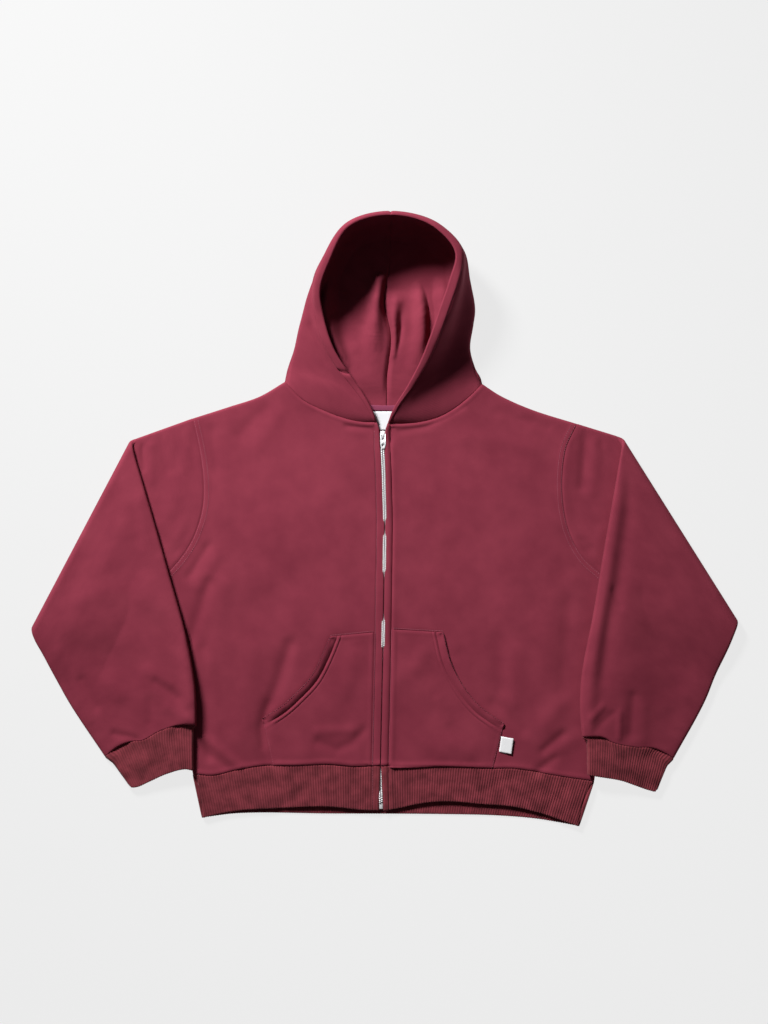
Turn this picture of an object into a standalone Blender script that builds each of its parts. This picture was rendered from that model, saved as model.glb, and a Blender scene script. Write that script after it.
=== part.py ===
"""A zip-up hooded sweatshirt in brushed fleece, laid out flat on its back with the sleeves folded over.

Lengths in the tables are millimetres. +X is to the right as the garment lies face up, +Y is towards the
hood and +Z is up, away from the surface that it lies on. "left" and "right" are as seen from above.
The back panel lies on the surface, the two fronts lie on it, and pockets and folded sleeves lie on those.
Every panel is a wall of cloth. Panels that are sewn together meet edge to edge with a small seam gap.
"""

import math

import bmesh
import bpy
import numpy as np

MM = 0.001
MIDDLE = (0.5, -5.6, 0.0)  # the middle of the garment as it lies, which is placed at the origin

# Driving dimensions of the cloth
CLOTH = 2.4  # thickness of the brushed fleece
SEAM_GAP = 0.3  # between two pieces that are sewn together
ROLL = 2.8  # radius, at mid thickness, of the turn at a side seam or a sleeve's edge
LOFT = 2.8  # air between the front and back layers where they lie on each other
RIB_PITCH = 4.0  # of the knitted ribs on the hem and cuffs
RIB_CREST = 0.45  # how far a rib stands out of the band's outer face
RIB_VALLEY = 0.35  # how deep the groove between two ribs is
HEM_OVERLAP = 1.9  # thickness added where the hood's face edge is turned under

LOW_LEVEL = CLOTH / 2  # mid height of the layer that lies on the surface
TURN_LEVEL = LOW_LEVEL + ROLL  # height of the seam line at the garment's edges
EDGE_LEVEL = TURN_LEVEL + ROLL  # mid height of the upper layer at those edges
REST_LEVEL = LOW_LEVEL + CLOTH + LOFT  # mid height of the upper layer inside them
SLAB_TOP = EDGE_LEVEL + CLOTH / 2  # top face of two layers
ROLL_STEPS = (0.0, 0.134, 0.5, 1.0)  # where a turn is sampled, in roll radii from its edge

CLOTH_COLOUR = (0.26, 0.036, 0.060)
RIB_COLOUR = (0.145, 0.026, 0.036)
LABEL_COLOUR = (0.86, 0.86, 0.87)
TAPE_COLOUR = (0.10, 0.016, 0.026)
METAL_COLOUR = (0.80, 0.80, 0.82)

# The cut's edges as they lie: each line runs from its first point to its last, outer face to outer face
OUTLINE = {
    "left": {
        "side": [(-277.7, -370.8), (-280, -358), (-299, -285), (-322, -190), (-340, -107)],
        "armhole": [(-340, -107), (-312.5, -78.3), (-296.5, -60.2), (-282, -39.2), (-271.9, -17.4),
                    (-263, 15), (-261.6, 50), (-266, 90), (-277.7, 144.3)],
        "shoulder": [(-277.7, 144.3), (-224, 161.5), (-181, 176), (-144, 197.5)],
        "neckline": [(-144, 197.5), (-118.2, 171.1), (-93.5, 158), (-55.8, 143.6), (-31.2, 138.8),
                     (-10.9, 138.5)],
        "hem_seam": [(-277.7, -370.8), (-248.7, -372.6), (-215.3, -365.4), (-177.6, -359),
                     (-126.9, -358.6), (-82.2, -357.4), (-37.8, -360.4), (-6.7, -358)],
        "hem_edge": [(-264.2, -434), (-237.7, -427.5), (-208.8, -423), (-148.9, -419.6),
                     (-82.2, -417.5), (-30, -422.5), (-8.3, -423)],
        "hem_side": [(-264.2, -434), (-265.4, -414), (-268.7, -391), (-277.7, -370.8)],
    },
    "right": {
        "side": [(304, -380.8), (306, -366), (318, -285), (331, -200), (343, -107)],
        "armhole": [(343, -107), (313.5, -81.2), (289.1, -58.9), (270.7, -28.3), (260.5, 8),
                    (257.4, 59.5), (264, 104), (279.1, 136.3)],
        "shoulder": [(279.1, 136.3), (211, 158), (167.5, 177.5), (141.4, 194.3)],
        "neckline": [(141.4, 194.3), (113.8, 167.8), (84.1, 148.5), (56.7, 139.6), (30, 136),
                     (9.5, 136)],
        "hem_seam": [(304, -380.8), (253, -373.6), (186.3, -362.6), (153, -362.6), (75.4, -358.6),
                     (30, -359), (-4.7, -358.5)],
        "hem_edge": [(282, -446.5), (259.7, -438.5), (230.8, -428.5), (186.3, -417.6), (142.1, -414.1),
                     (88.7, -410), (52.9, -413), (17.7, -420.5), (-1.7, -423.5)],
        "hem_side": [(282, -446.5), (287.4, -416.2), (294.6, -397), (304, -380.8)],
    },
}
BACK_NECKLINE = [(-144, 197.5), (-95, 176), (-45, 165), (3.6, 161.5), (50, 164.5), (98, 175), (141.4, 194.3)]
BACK_HEM_SEAM = [(-277.7, -370.8), (-180, -366), (0, -364), (180, -367), (304, -380.8)]
BACK_HEM_EDGE = [(-264.2, -434), (-215, -428), (-80, -428.3), (88.7, -429.2), (164.3, -431.1),
                 (219.7, -435.6), (253, -441), (282, -446.5)]

# The zip's line down the front, and half the gap between the two fronts there
ZIP_COLUMNS = ("y", "centre_x", "half_gap")
ZIP_ROWS = [
    (-424, -5.0, 3.3),
    (-372, -5.8, 3.0),
    (-352, -5.6, 1.0),
    (-264, -3.6, 0.9),
    (-191, -2.0, 1.2),
    (-119, -1.0, 1.8),
    (-3, 0.7, 2.1),
    (61, -1.0, 2.8),
    (96, -2.6, 2.9),
    (108, -2.6, 4.8),
    (126, -2.0, 5.0),
    (138, -0.7, 10.0),
]

# The largest soft ridges on the fronts: from one end to the other, with their half width and height
RIDGE_COLUMNS = ("x0", "y0", "x1", "y1", "half_width", "height")
RIDGE_ROWS = [
    (-232, -190, -196, -330, 22, 2.6),
    (-258, -330, -205, -362, 12, 2.0),
    (-150, -336, -60, -318, 16, 1.8),
    (214, -175, 232, -300, 26, 2.4),
    (262, -270, 226, -352, 14, 2.2),
    (60, -330, 120, -318, 18, 1.6),
    (-238, 120, -226, 60, 16, 1.6),
    (236, 118, 222, 56, 16, 1.6),
    (-246, -92, -268, -150, 16, 1.8),
    (268, -96, 282, -150, 16, 1.8),
    (-110, 118, -30, 112, 14, 1.2),
    (40, 112, 110, 122, 14, 1.2),
]

# The sleeves: folded over along a line that runs down the garment's outline, from its top corner to its
# bottom corner. past_fold gives the two edges of the stretch that lies on top, from the fold to the cuff.
SLEEVES = {
    "left": {
        "fold": [(-367.8, 112.3), (-509.6, -157.0)],
        "past_corners": (4.5, 3.0),
        "inner_edge": [(-348.0, 60.7), (-333.8, 3.8), (-313.5, -71.2), (-285.2, -172.5), (-272.1, -246.9)],
        "outer_edge": [(-508.0, -172.0), (-456.5, -267.5)],
        "cuff_seam": [(-270.6, -297.8), (-286.5, -297.8), (-305.2, -300.6), (-325.5, -307.9),
                      (-350, -321.2), (-365.9, -322.7), (-384.5, -330.2), (-405.3, -344.7)],
        "cuff_edge": [(-275.8, -364), (-286.8, -362.4), (-314.4, -369.5), (-342, -382.2),
                      (-367.8, -391.3)],
    },
    "right": {
        "fold": [(347.0, 112.4), (510.4, -147.6)],
        "past_corners": (8.0, 3.0),
        "inner_edge": [(332.4, 59.3), (322.2, -11.9), (312.1, -72.7), (302, -133.5), (283.7, -232.5),
                       (282, -274.3)],
        "outer_edge": [(502, -189), (467.5, -259.5)],
        "cuff_seam": [(284.9, -315.2), (317.7, -317.2), (326.9, -322.7), (363.7, -330.9),
                      (385.8, -331.9), (411.7, -343), (419, -347.8)],
        "cuff_edge": [(292.9, -370.6), (308.7, -373.3), (341.5, -379.2), (363.4, -387),
                      (393.2, -396.2)],
    },
}
FOLD_AXIS_HEIGHT = SLAB_TOP + SEAM_GAP / 2
SEAT_ON_SLEEVE = SLAB_TOP + SEAM_GAP  # underside of cloth that lies on a sleeve's first stretch
SEAT_ON_BODY = SLAB_TOP + 1.3  # underside of cloth that lies on the body, above its ribs and ridges
DRAPE = 34.0  # how far out from such a support the cloth takes to reach the surface

# The hood, lying on its back with the face opening up: one row for each section from the neck to the crown.
# rim is the face edge, edge the hood's outline from above, bulge how far the side swells between them.
HOOD_COLUMNS = ("rim_x", "rim_y", "rim_z", "edge_x", "edge_y", "edge_z", "bulge", "seam_x", "seam_y")
HOOD_ROWS = {
    "left": [
        (-17.3, 154.5, 13, -143.5, 205.0, 5, 1.0, 3.8, 176),
        (-40.3, 194.1, 27, -138.0, 226.0, 8, 3.0, 4, 198),
        (-52.6, 210.9, 35, -131.5, 245.0, 11, 4.0, 4.5, 220),
        (-72.0, 242.1, 47, -122.0, 280.0, 18, 5.0, 5, 250),
        (-88.2, 295.0, 59, -110.5, 318.0, 26, 3.0, 6, 285),
        (-91.5, 320.2, 63, -103.0, 339.0, 32, 2.0, 7, 315),
        (-80.5, 367.5, 68, -88.0, 375.0, 38, 1.5, 8.5, 350),
        (-51.5, 411.5, 68, -56.0, 416.0, 40, 1.0, 9.5, 390),
        (8.5, 430.5, 64, 9.0, 434.0, 40, 0.5, 10, 418),
    ],
    "right": [
        (15.9, 153.8, 13, 141.0, 201.0, 5, 1.0, 3.8, 176),
        (34.7, 191.2, 28, 131.8, 219.4, 8, -1.0, 4, 198),
        (51.3, 225.0, 40, 124.3, 246.1, 11, -3.0, 4.5, 220),
        (68.3, 263.4, 52, 128.5, 279.0, 16, -4.0, 5, 250),
        (82.8, 297.0, 60, 130.4, 302.0, 22, -3.0, 6, 285),
        (93.8, 337.5, 66, 123.0, 342.0, 30, -1.0, 7, 315),
        (100.0, 374.2, 69, 114.5, 379.0, 36, 0.5, 8.5, 350),
        (76.0, 410.5, 68, 79.5, 415.5, 40, 1.0, 9.5, 390),
        (8.5, 430.5, 64, 9.0, 434.0, 40, 0.5, 10, 418),
    ],
}
# Soft folds that stand up in the back of the hood, where it is bunched on the surface
HOOD_FOLD_ROWS = [
    (-18, 338, -24, 252, 11, 9.0),
    (-24, 252, -14, 205, 13, 6.0),
    (34, 330, 40, 250, 12, 8.0),
    (40, 250, 30, 205, 13, 5.0),
]

# The patch pockets: top corner near the zip, the curved opening, and the side edge down to the hem
POCKETS = {
    "left": {
        "top": [(-79, -171.5), (-17.2, -165.3)],
        "opening": [(-177.6, -290.7), (-148.9, -272), (-126.9, -252), (-106.6, -229.8), (-91.2, -201),
                    (-79, -171.5)],
        "side": [(-162.1, -358.2), (-171.1, -318), (-177.6, -290.7)],
    },
    "right": {
        "top": [(84.8, -165.3), (11.8, -161)],
        "opening": [(173.3, -297.3), (155.3, -285.4), (137.6, -272), (115.3, -245.1), (95.4, -207.4),
                    (84.8, -165.3)],
        "side": [(157.3, -361.8), (164.3, -334), (173.3, -297.3)],
    },
}
POCKET_GAPE = 1.6  # how far the pocket's opening stands off the front
TOPSTITCH = 11.6  # from the front's zip edge to its row of stitches

NECK_LABEL = {"centre": (-1.5, 140.9), "width": 46.0, "height": 27.0, "thick": 0.6}
POCKET_LABEL = {"corner": (169.6, -316.6), "along": (-2.9, -22.4), "out": (17.2, -3.4), "thick": 1.0}
NECK_TAPE = {"half_width": 4.2, "thick": 0.8, "end_inset": 12.0}

ZIP_TAPE = {"width": 13.0, "thick": 0.8, "top_y": 135.0, "bottom_y": -421.0}
CHAIN = {"half_width": 2.9, "low": 2.7, "high": 5.1, "top_y": 111.5, "bottom_y": -410.6}
STOP_BOX = {"half_width": 2.7, "length": 10.0, "low": 2.7, "high": 6.6, "top_y": -411.0}
SLIDER = {"top_y": 126.0, "bottom_y": 112.0, "half_width": 4.4, "waist": 3.4, "low": 2.7, "high": 7.4}
BRIDGE = {"half_width": 1.2, "inner": (115.6, 122.4), "wall": 1.2, "height": 3.4}
PULL_PIVOT = (-2.1, 121.0, 9.3)
PULL = {"bar": 0.8, "window": (-7.8, -0.8), "window_half_width": 1.9, "length": 20.6, "half_width": 3.9,
        "tip_half_width": 2.2, "hole_radius": 1.3, "hole_at": -16.4, "thick": 1.6}

# How finely each piece is divided
HOOD_STEP = 0.062  # of the hood's face edge
SIDE_ROWS = 7
ARMHOLE_FLAT = 8
NECK_FLAT = 6
FRONT_COLUMNS = 8
BACK_NECK_FLAT = 7
ARMHOLE_ROWS = ARMHOLE_FLAT + 2 * len(ROLL_STEPS) - 1


def smooth_line(points, fractions):
    """Points on the smooth curve through a few given ones, at those fractions of its length."""
    p = np.array(points, float)
    ends = np.vstack([2 * p[:1] - p[1:2], p, 2 * p[-1:] - p[-2:-1]])
    steps = np.linspace(0, 1, 17)[:, None]
    dense = []
    for a, b, c, d in zip(ends[:-3], ends[1:-2], ends[2:-1], ends[3:]):
        reach = np.linalg.norm(c - b)
        before, after = max(np.linalg.norm(b - a), 1e-9), max(np.linalg.norm(d - c), 1e-9)
        start = reach * ((b - a) / before + (c - b) / reach) / 2
        end = reach * ((c - b) / reach + (d - c) / after) / 2
        s, t = steps * steps, steps**3
        dense.append((2 * t - 3 * s + 1) * b + (t - 2 * s + steps) * start + (3 * s - 2 * t) * c + (t - s) * end)
    dense = np.vstack([dense[0]] + [one[1:] for one in dense[1:]])
    along = np.concatenate([[0], np.cumsum(np.linalg.norm(np.diff(dense, axis=0), axis=1))])
    at = np.asarray(fractions, float) * along[-1]
    return np.stack([np.interp(at, along, dense[:, k]) for k in range(p.shape[1])], axis=1)


def length_of(points):
    dense = smooth_line(points, np.linspace(0, 1, 60))
    return float(np.linalg.norm(np.diff(dense, axis=0), axis=1).sum())


def turned_fractions(length, flat_steps, at_start=True, at_end=True):
    """Fractions along a line of that length: close together over a turn at its ends, even between."""
    lead = np.array(ROLL_STEPS) * ROLL / length
    start = lead[-1] if at_start else 0.0
    end = 1 - lead[-1] if at_end else 1.0
    middle = np.linspace(start, end, flat_steps + 1)
    head = lead[:-1] if at_start else []
    tail = 1 - lead[:-1][::-1] if at_end else []
    return np.concatenate([head, middle, tail])


def sideways(line):
    """Unit vectors in the plane, square to the line at each of its points, on its left."""
    along = np.gradient(line, axis=0)
    along /= np.linalg.norm(along, axis=1)[:, None]
    return np.stack([-along[:, 1], along[:, 0]], axis=1)


def moved_inward(line, distance):
    """The line moved by that distance towards the garment's middle."""
    across = sideways(line)
    middle = np.array([0.0, -90.0])
    inward = np.sign(((middle - line) * across).sum(1))[:, None]
    return line + across * inward * distance


def nearest_on(points, line):
    """Distance from each point in the plane to a line of points, and the unit way towards it."""
    flat = points.reshape(-1, 2)
    best = np.full(len(flat), np.inf)
    toward = np.zeros_like(flat)
    middle = np.array([0.0, -90.0])
    for a, b in zip(line[:-1], line[1:]):
        run = b - a
        if np.linalg.norm(run) < 1e-6:
            continue
        share = np.clip(((flat - a) @ run) / (run @ run), 0, 1)
        place = a + share[:, None] * run
        away = place - flat
        far = np.linalg.norm(away, axis=1)
        square = np.array([-run[1], run[0]]) / np.linalg.norm(run)
        square = np.sign((place - middle) @ square)[:, None] * square
        unit = np.where(far[:, None] > 1e-3, away / np.maximum(far, 1e-9)[:, None], square)
        closer = far < best
        best = np.where(closer, far, best)
        toward = np.where(closer[:, None], unit, toward)
    return best.reshape(points.shape[:-1]), toward.reshape(points.shape)


def inside(points, polygon):
    """Which points in the plane lie inside a closed polygon."""
    x, y = points[..., 0], points[..., 1]
    found = np.zeros(x.shape, bool)
    for (ax, ay), (bx, by) in zip(polygon, np.roll(polygon, -1, axis=0)):
        crosses = (ay > y) != (by > y)
        found ^= crosses & (x < (bx - ax) * (y - ay) / (by - ay + 1e-12) + ax)
    return found


def distance_outside(points, polygon):
    """How far outside a closed polygon each point lies, 0 inside it."""
    closed = np.vstack([polygon, polygon[:1]])
    return np.where(inside(points, polygon), 0.0, nearest_on(points, closed)[0])


def smoothstep(value):
    value = np.clip(value, 0, 1)
    return value * value * (3 - 2 * value)


def ridges(points, rows):
    """Summed height of soft ridges, each a rounded swell along a straight line."""
    total = np.zeros(points.shape[:-1])
    for x0, y0, x1, y1, half_width, height in rows:
        a, b = np.array([x0, y0], float), np.array([x1, y1], float)
        share = np.clip(((points - a) @ (b - a)) / ((b - a) @ (b - a)), 0, 1)
        place = a + share[..., None] * (b - a)
        far = np.linalg.norm(points - place, axis=-1)
        total += height * np.exp(-((far / half_width) ** 2))
    return total


def zip_at(y):
    """(centre x, half gap) of the zip at a height y on the garment."""
    rows = np.array(ZIP_ROWS)
    return np.interp(y, rows[:, 0], rows[:, 1]), np.interp(y, rows[:, 0], rows[:, 2])


def zip_edge(side, low, high, steps):
    """A front's edge at the zip, from low to high."""
    y = np.linspace(low, high, steps + 1)
    centre, half = zip_at(y)
    return np.stack([centre + (half if side == "right" else -half), y], axis=1)


# Where the cloth turns over at the outline: the side seams and the shoulder seams
def turned_edge(side, name, steps=40):
    line = smooth_line(OUTLINE[side][name], np.linspace(0, 1, steps + 1))
    return moved_inward(line, CLOTH / 2)


TURNS = [turned_edge(side, name) for side in ("left", "right") for name in ("side", "shoulder", "hem_side")]
NECKLINES = [smooth_line(OUTLINE[side]["neckline"], np.linspace(0, 1, 21)) for side in ("left", "right")]


def seam_line(side, name):
    """The points of a seam at mid thickness, the same for the pieces on both sides of it."""
    if name in ("side", "shoulder"):
        steps = SIDE_ROWS if name == "side" else FRONT_COLUMNS
        line = turned_edge(side, name)
        share = np.linspace(0, 1, steps + 1)
        if name == "shoulder":
            share = turned_fractions(length_of(line), steps, at_end=False)
        return smooth_line(line, share)
    if name == "back_neck":
        line = BACK_NECKLINE[:4] if side == "left" else BACK_NECKLINE[:2:-1]
    else:
        line = OUTLINE[side][name]
    line = [np.array(p, float) for p in line]
    if name == "armhole":
        line[0], line[-1] = turned_edge(side, "side")[-1], turned_edge(side, "shoulder")[0]
        return smooth_line(line, turned_fractions(length_of(line), ARMHOLE_FLAT))
    if name == "hem_seam":
        line[0] = turned_edge(side, "side")[0]
        line[-1][0] = zip_edge(side, line[-1][1], line[-1][1], 0)[0, 0]
        return smooth_line(line, turned_fractions(length_of(line), FRONT_COLUMNS, at_end=False))
    line[0] = turned_edge(side, "shoulder")[-1]
    return smooth_line(line, turned_fractions(length_of(line), NECK_FLAT, at_end=False))


def parted(middle, line, distance):
    """Mid points of a seam moved in the plane, towards the garment's middle where distance is above 0,
    and further at its ends, where the corners of three pieces meet."""
    shift = moved_inward(line, distance) - line
    shift[[0, -1]] *= 3.6
    shift[[1, -2]] *= 2.6
    return middle + np.concatenate([shift, np.zeros((len(line), 1))], axis=1)


def turn(points):
    """(how far along a turn the cloth is, from 0 flat to 1 upright; the way it leans)."""
    found = [nearest_on(points, line) for line in TURNS]
    which = np.argmin([far for far, _ in found], axis=0)
    far = np.min([far for far, _ in found], axis=0)
    toward = np.choose(which[..., None], [way for _, way in found])
    return np.clip((ROLL - far) / ROLL, 0, 1), toward, far


def upper_level(points):
    """Mid height of the fronts' layer before it turns down at the outline."""
    far = turn(points)[2]
    swell = (EDGE_LEVEL - REST_LEVEL) * np.exp(-((far / 30) ** 2))
    centre, _ = zip_at(points[..., 1])
    at_zip = 0.45 * np.exp(-(((points[..., 0] - centre) / 22) ** 2))
    to_neck = np.min([nearest_on(points, line)[0] for line in NECKLINES], axis=0)
    at_neck = 1.4 * np.exp(-((to_neck / 16) ** 2)) * smoothstep((points[..., 1] - 110) / 14)
    fade = smoothstep(far / 26)
    return REST_LEVEL + swell + at_zip + at_neck + fade * ridges(points, RIDGE_ROWS)


def upper_layer(points):
    """Points at mid thickness of the upper layer, and the outward normals there."""
    share, toward, _ = turn(points)
    upright = np.sqrt(1 - share**2)
    step = 0.5
    slope_x = (upper_level(points + (step, 0)) - upper_level(points - (step, 0))) / (2 * step)
    slope_y = (upper_level(points + (0, step)) - upper_level(points - (0, step))) / (2 * step)
    height = upper_level(points) - ROLL * (1 - upright)
    flat = np.stack([-slope_x, -slope_y, np.ones_like(height)], axis=-1) * upright[..., None]
    normal = flat + np.concatenate([toward * share[..., None], np.zeros(share.shape + (1,))], axis=-1)
    return np.dstack([points, height]), normal / np.linalg.norm(normal, axis=-1)[..., None]


def lower_layer(points):
    """Points at mid thickness of the layer on the surface, and the outward normals there."""
    share, toward, _ = turn(points)
    upright = np.sqrt(1 - share**2)
    height = LOW_LEVEL + ROLL * (1 - upright)
    normal = np.concatenate([toward * share[..., None], -upright[..., None]], axis=-1)
    return np.dstack([points, height]), normal / np.linalg.norm(normal, axis=-1)[..., None]


def patch(bottom, top, left, right):
    """A grid that fills four lines meeting at their ends. bottom and top run from left to right, and left
    and right from bottom to top."""

    def shares(line):
        far = np.concatenate([[0], np.cumsum(np.linalg.norm(np.diff(line, axis=0), axis=1))])
        return far / far[-1]

    rows, columns = len(left), len(bottom)
    rise = (shares(left)[:, None] + shares(right)[:, None]) / 2
    v = rise * np.ones((rows, columns))
    u = (1 - v) * shares(bottom)[None, :] + v * shares(top)[None, :]
    u, v = u[..., None], v[..., None]
    edges = (1 - v) * bottom[None] + v * top[None] + (1 - u) * left[:, None] + u * right[:, None]
    corners = ((1 - u) * (1 - v) * bottom[0] + u * (1 - v) * bottom[-1]
               + (1 - u) * v * top[0] + u * v * top[-1])
    grid = edges - corners
    grid[0], grid[-1], grid[:, 0], grid[:, -1] = bottom, top, left, right
    return grid


def bridge(first, second, first_at, second_at):
    """Triangles between two rows of vertex numbers, each row with its places along the strip."""
    faces = []
    i = j = 0
    while i < len(first) - 1 or j < len(second) - 1:
        step_first = j == len(second) - 1 or (i < len(first) - 1 and first_at[i + 1] <= second_at[j + 1])
        if step_first:
            faces.append((first[i], first[i + 1], second[j]))
            i += 1
        else:
            faces.append((first[i], second[j + 1], second[j]))
            j += 1
    return faces


def grid_faces(numbers):
    """Quads over a grid of vertex numbers."""
    return [
        (numbers[r, c], numbers[r, c + 1], numbers[r + 1, c + 1], numbers[r + 1, c])
        for r in range(numbers.shape[0] - 1)
        for c in range(numbers.shape[1] - 1)
    ]


def fabric(name, colour, roughness=0.9, metallic=0.0):
    found = bpy.data.materials.new(name)
    found.use_nodes = True
    shader = found.node_tree.nodes["Principled BSDF"]
    shader.inputs["Base Color"].default_value = (*colour, 1)
    shader.inputs["Roughness"].default_value = roughness
    shader.inputs["Metallic"].default_value = metallic
    return found


def add_solid(name, points, faces, material):
    """An object from points in millimetres, with its faces pointing out."""
    mesh = bpy.data.meshes.new(name)
    placed = (np.asarray(points) - MIDDLE) * MM
    mesh.from_pydata(placed.tolist(), [], [tuple(int(i) for i in f) for f in faces])
    shape = bmesh.new()
    shape.from_mesh(mesh)
    bmesh.ops.remove_doubles(shape, verts=shape.verts, dist=0.00001)
    if shape.calc_volume(signed=True) < 0:
        bmesh.ops.reverse_faces(shape, faces=shape.faces)
    shape.to_mesh(mesh)
    shape.free()
    mesh.shade_smooth()
    mesh.set_sharp_from_angle(angle=0.7)
    mesh.materials.append(material)
    made = bpy.data.objects.new(name, mesh)
    bpy.context.scene.collection.objects.link(made)
    return made


def wall(name, outer, inner, material, columns=None, ring=False):
    """A closed wall between an outer and an inner grid of points. columns says which outer columns the
    inner grid has, where the inside is plainer. A ring's last column joins its first."""
    rows, outer_columns = outer.shape[:2]
    inner_columns = inner.shape[1]
    at_outer = np.arange(outer_columns)
    at_inner = np.arange(inner_columns) if columns is None else np.asarray(columns)
    outside = np.arange(rows * outer_columns).reshape(rows, outer_columns)
    inward = np.arange(rows * inner_columns).reshape(rows, inner_columns) + outside.size
    if ring:
        outside = np.hstack([outside, outside[:, :1]])
        inward = np.hstack([inward, inward[:, :1]])
        at_outer = np.append(at_outer, outer_columns)
        at_inner = np.append(at_inner, outer_columns)
    faces = grid_faces(outside) + [f[::-1] for f in grid_faces(inward)]
    faces += [f[::-1] for f in bridge(outside[0], inward[0], at_outer, at_inner)]
    faces += bridge(outside[-1], inward[-1], at_outer, at_inner)
    if not ring:
        along = np.arange(rows)
        faces += bridge(outside[:, 0], inward[:, 0], along, along)
        faces += [f[::-1] for f in bridge(outside[:, -1], inward[:, -1], along, along)]
    points = np.vstack([outer.reshape(-1, 3), inner.reshape(-1, 3)])
    return add_solid(name, points, faces, material)


def cloth_wall(name, layer, material, thick=CLOTH):
    middle, normal = layer
    return wall(name, middle + normal * thick / 2, middle - normal * thick / 2, material)


# The body's panels
def outer_edge(side):
    """A panel's outer edge, from the hem seam up the side seam and the armhole to the shoulder."""
    return np.vstack([seam_line(side, "side"), seam_line(side, "armhole")[1:]])


def front_grid(side):
    outer = outer_edge(side)
    neckline = seam_line(side, "neckline")[::-1]
    bottom, top = seam_line(side, "hem_seam"), seam_line(side, "shoulder")
    count = len(outer) - len(neckline)
    centre = zip_edge(side, bottom[-1][1], neckline[0][1], count)
    inner = np.vstack([centre[:-1], neckline])
    inner[0] = bottom[-1]
    return patch(bottom, top, outer, inner)


def front_layer(side):
    """Mid points and normals of a front, with its seams parted from the pieces that it is sewn to."""
    grid = front_grid(side)
    middle, normal = upper_layer(grid)
    middle[..., 2] += SEAM_GAP / 2 * (turn(grid)[0] > 0.2)
    arm, neck = ARMHOLE_ROWS, len(seam_line(side, "neckline"))
    middle[-arm:, 0] = parted(middle[-arm:, 0], grid[-arm:, 0], SEAM_GAP / 2)
    middle[-neck:, -1] = parted(middle[-neck:, -1], grid[-neck:, -1], SEAM_GAP / 2)
    middle[0] = parted(middle[0], grid[0], SEAM_GAP / 2)
    return middle, normal


def make_front(side, material):
    return cloth_wall(f"front_{side}", front_layer(side), material)


def make_back(material):
    left, right = outer_edge("left"), outer_edge("right")
    neck = np.vstack([seam_line("left", "back_neck"), seam_line("right", "back_neck")[-2::-1]])
    top = np.vstack([seam_line("left", "shoulder"), neck[1:-1], seam_line("right", "shoulder")[::-1]])
    bottom = back_hem_line(top)
    left[0], right[0] = bottom[0], bottom[-1]
    grid = patch(bottom, top, left, right)
    middle, normal = lower_layer(grid)
    middle[..., 2] -= SEAM_GAP / 2 * (turn(grid)[0] > 0.2)
    for column in (0, -1):
        arm = slice(-ARMHOLE_ROWS, None)
        middle[arm, column] = parted(middle[arm, column], grid[arm, column], SEAM_GAP / 2)
    start, end = FRONT_COLUMNS + 3, len(top) - FRONT_COLUMNS - 3
    middle[-1, start:end] = parted(middle[-1, start:end], grid[-1, start:end], SEAM_GAP / 2)
    middle[0] = parted(middle[0], grid[0], SEAM_GAP / 2)
    return cloth_wall("back_panel", (middle, normal), material)


def back_hem_line(top=None):
    """The back's hem seam at mid thickness, divided as the back's top edge is."""
    if top is None:
        share = turned_fractions(length_of(BACK_HEM_SEAM), 20)
    else:
        widths = np.linalg.norm(np.diff(top, axis=0), axis=1)
        share = np.concatenate([[0], np.cumsum(widths)]) / widths.sum()
    line = [np.array(p, float) for p in BACK_HEM_SEAM]
    line[0], line[-1] = turned_edge("left", "side")[0], turned_edge("right", "side")[0]
    return smooth_line(line, share)


# The ribbed hem band, one strip from the zip round the back to the zip
def along_chords(rows, places, wanted):
    """Values on straight lines between coarse rows, at the wanted places along them."""
    flat = rows.reshape(len(rows), -1)
    made = [np.interp(wanted, places, flat[:, k]) for k in range(flat.shape[1])]
    return np.stack(made, axis=1).reshape(len(wanted), *rows.shape[1:])


def ribbed_places(places, start, end):
    """Places along a seam with a whole number of ribs in each of its stretches, apart from its turned ends."""
    last = len(places) - 1 - end
    runs = [places[:start]]
    for a, b in zip(places[start:last], places[start + 1:]):
        runs.append(np.linspace(a, b, 2 * round((b - a) / RIB_PITCH) + 1)[:-1])
    return np.concatenate([*runs, places[last:]])


def hem_part(seam_layer, seam_plan, edge, layer_of, ribbed):
    """Mid points and normals of a stretch of the band, hung from the seam that it is sewn to."""
    turned = len(ROLL_STEPS) - 1
    places = np.concatenate([[0], np.cumsum(np.linalg.norm(np.diff(seam_plan, axis=0), axis=1))])
    wanted = ribbed_places(places, turned, 0) if ribbed else places
    share = wanted / places[-1]
    top_middle, top_normal = (along_chords(part, places, wanted) for part in seam_layer)
    edge_line = smooth_line(edge, share)
    if ribbed:
        edge_line[:turned] = edge_line[0] + wanted[:turned, None] * (-np.sign(edge[0][0]), 0)
    rows_middle, rows_normal = [], []
    for t in (0.0, 0.5):
        plan = edge_line + (top_middle[:, :2] - edge_line) * t
        middle, normal = layer_of(plan[None])
        rows_middle.append(middle[0])
        rows_normal.append(normal[0])
    middle = np.array([*rows_middle, top_middle])
    normal = np.array([*rows_normal, top_normal])
    kept = np.isin(wanted, places)
    return middle, normal, kept


def hem_edge_line(side):
    """A front's lower edge, from the side's turn to the zip."""
    edge = [np.array(p, float) for p in OUTLINE[side]["hem_edge"]]
    edge[0] = turned_edge(side, "hem_side")[0]
    edge[-1][0] = zip_edge(side, edge[-1][1], edge[-1][1], 0)[0, 0]
    return edge


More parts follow.
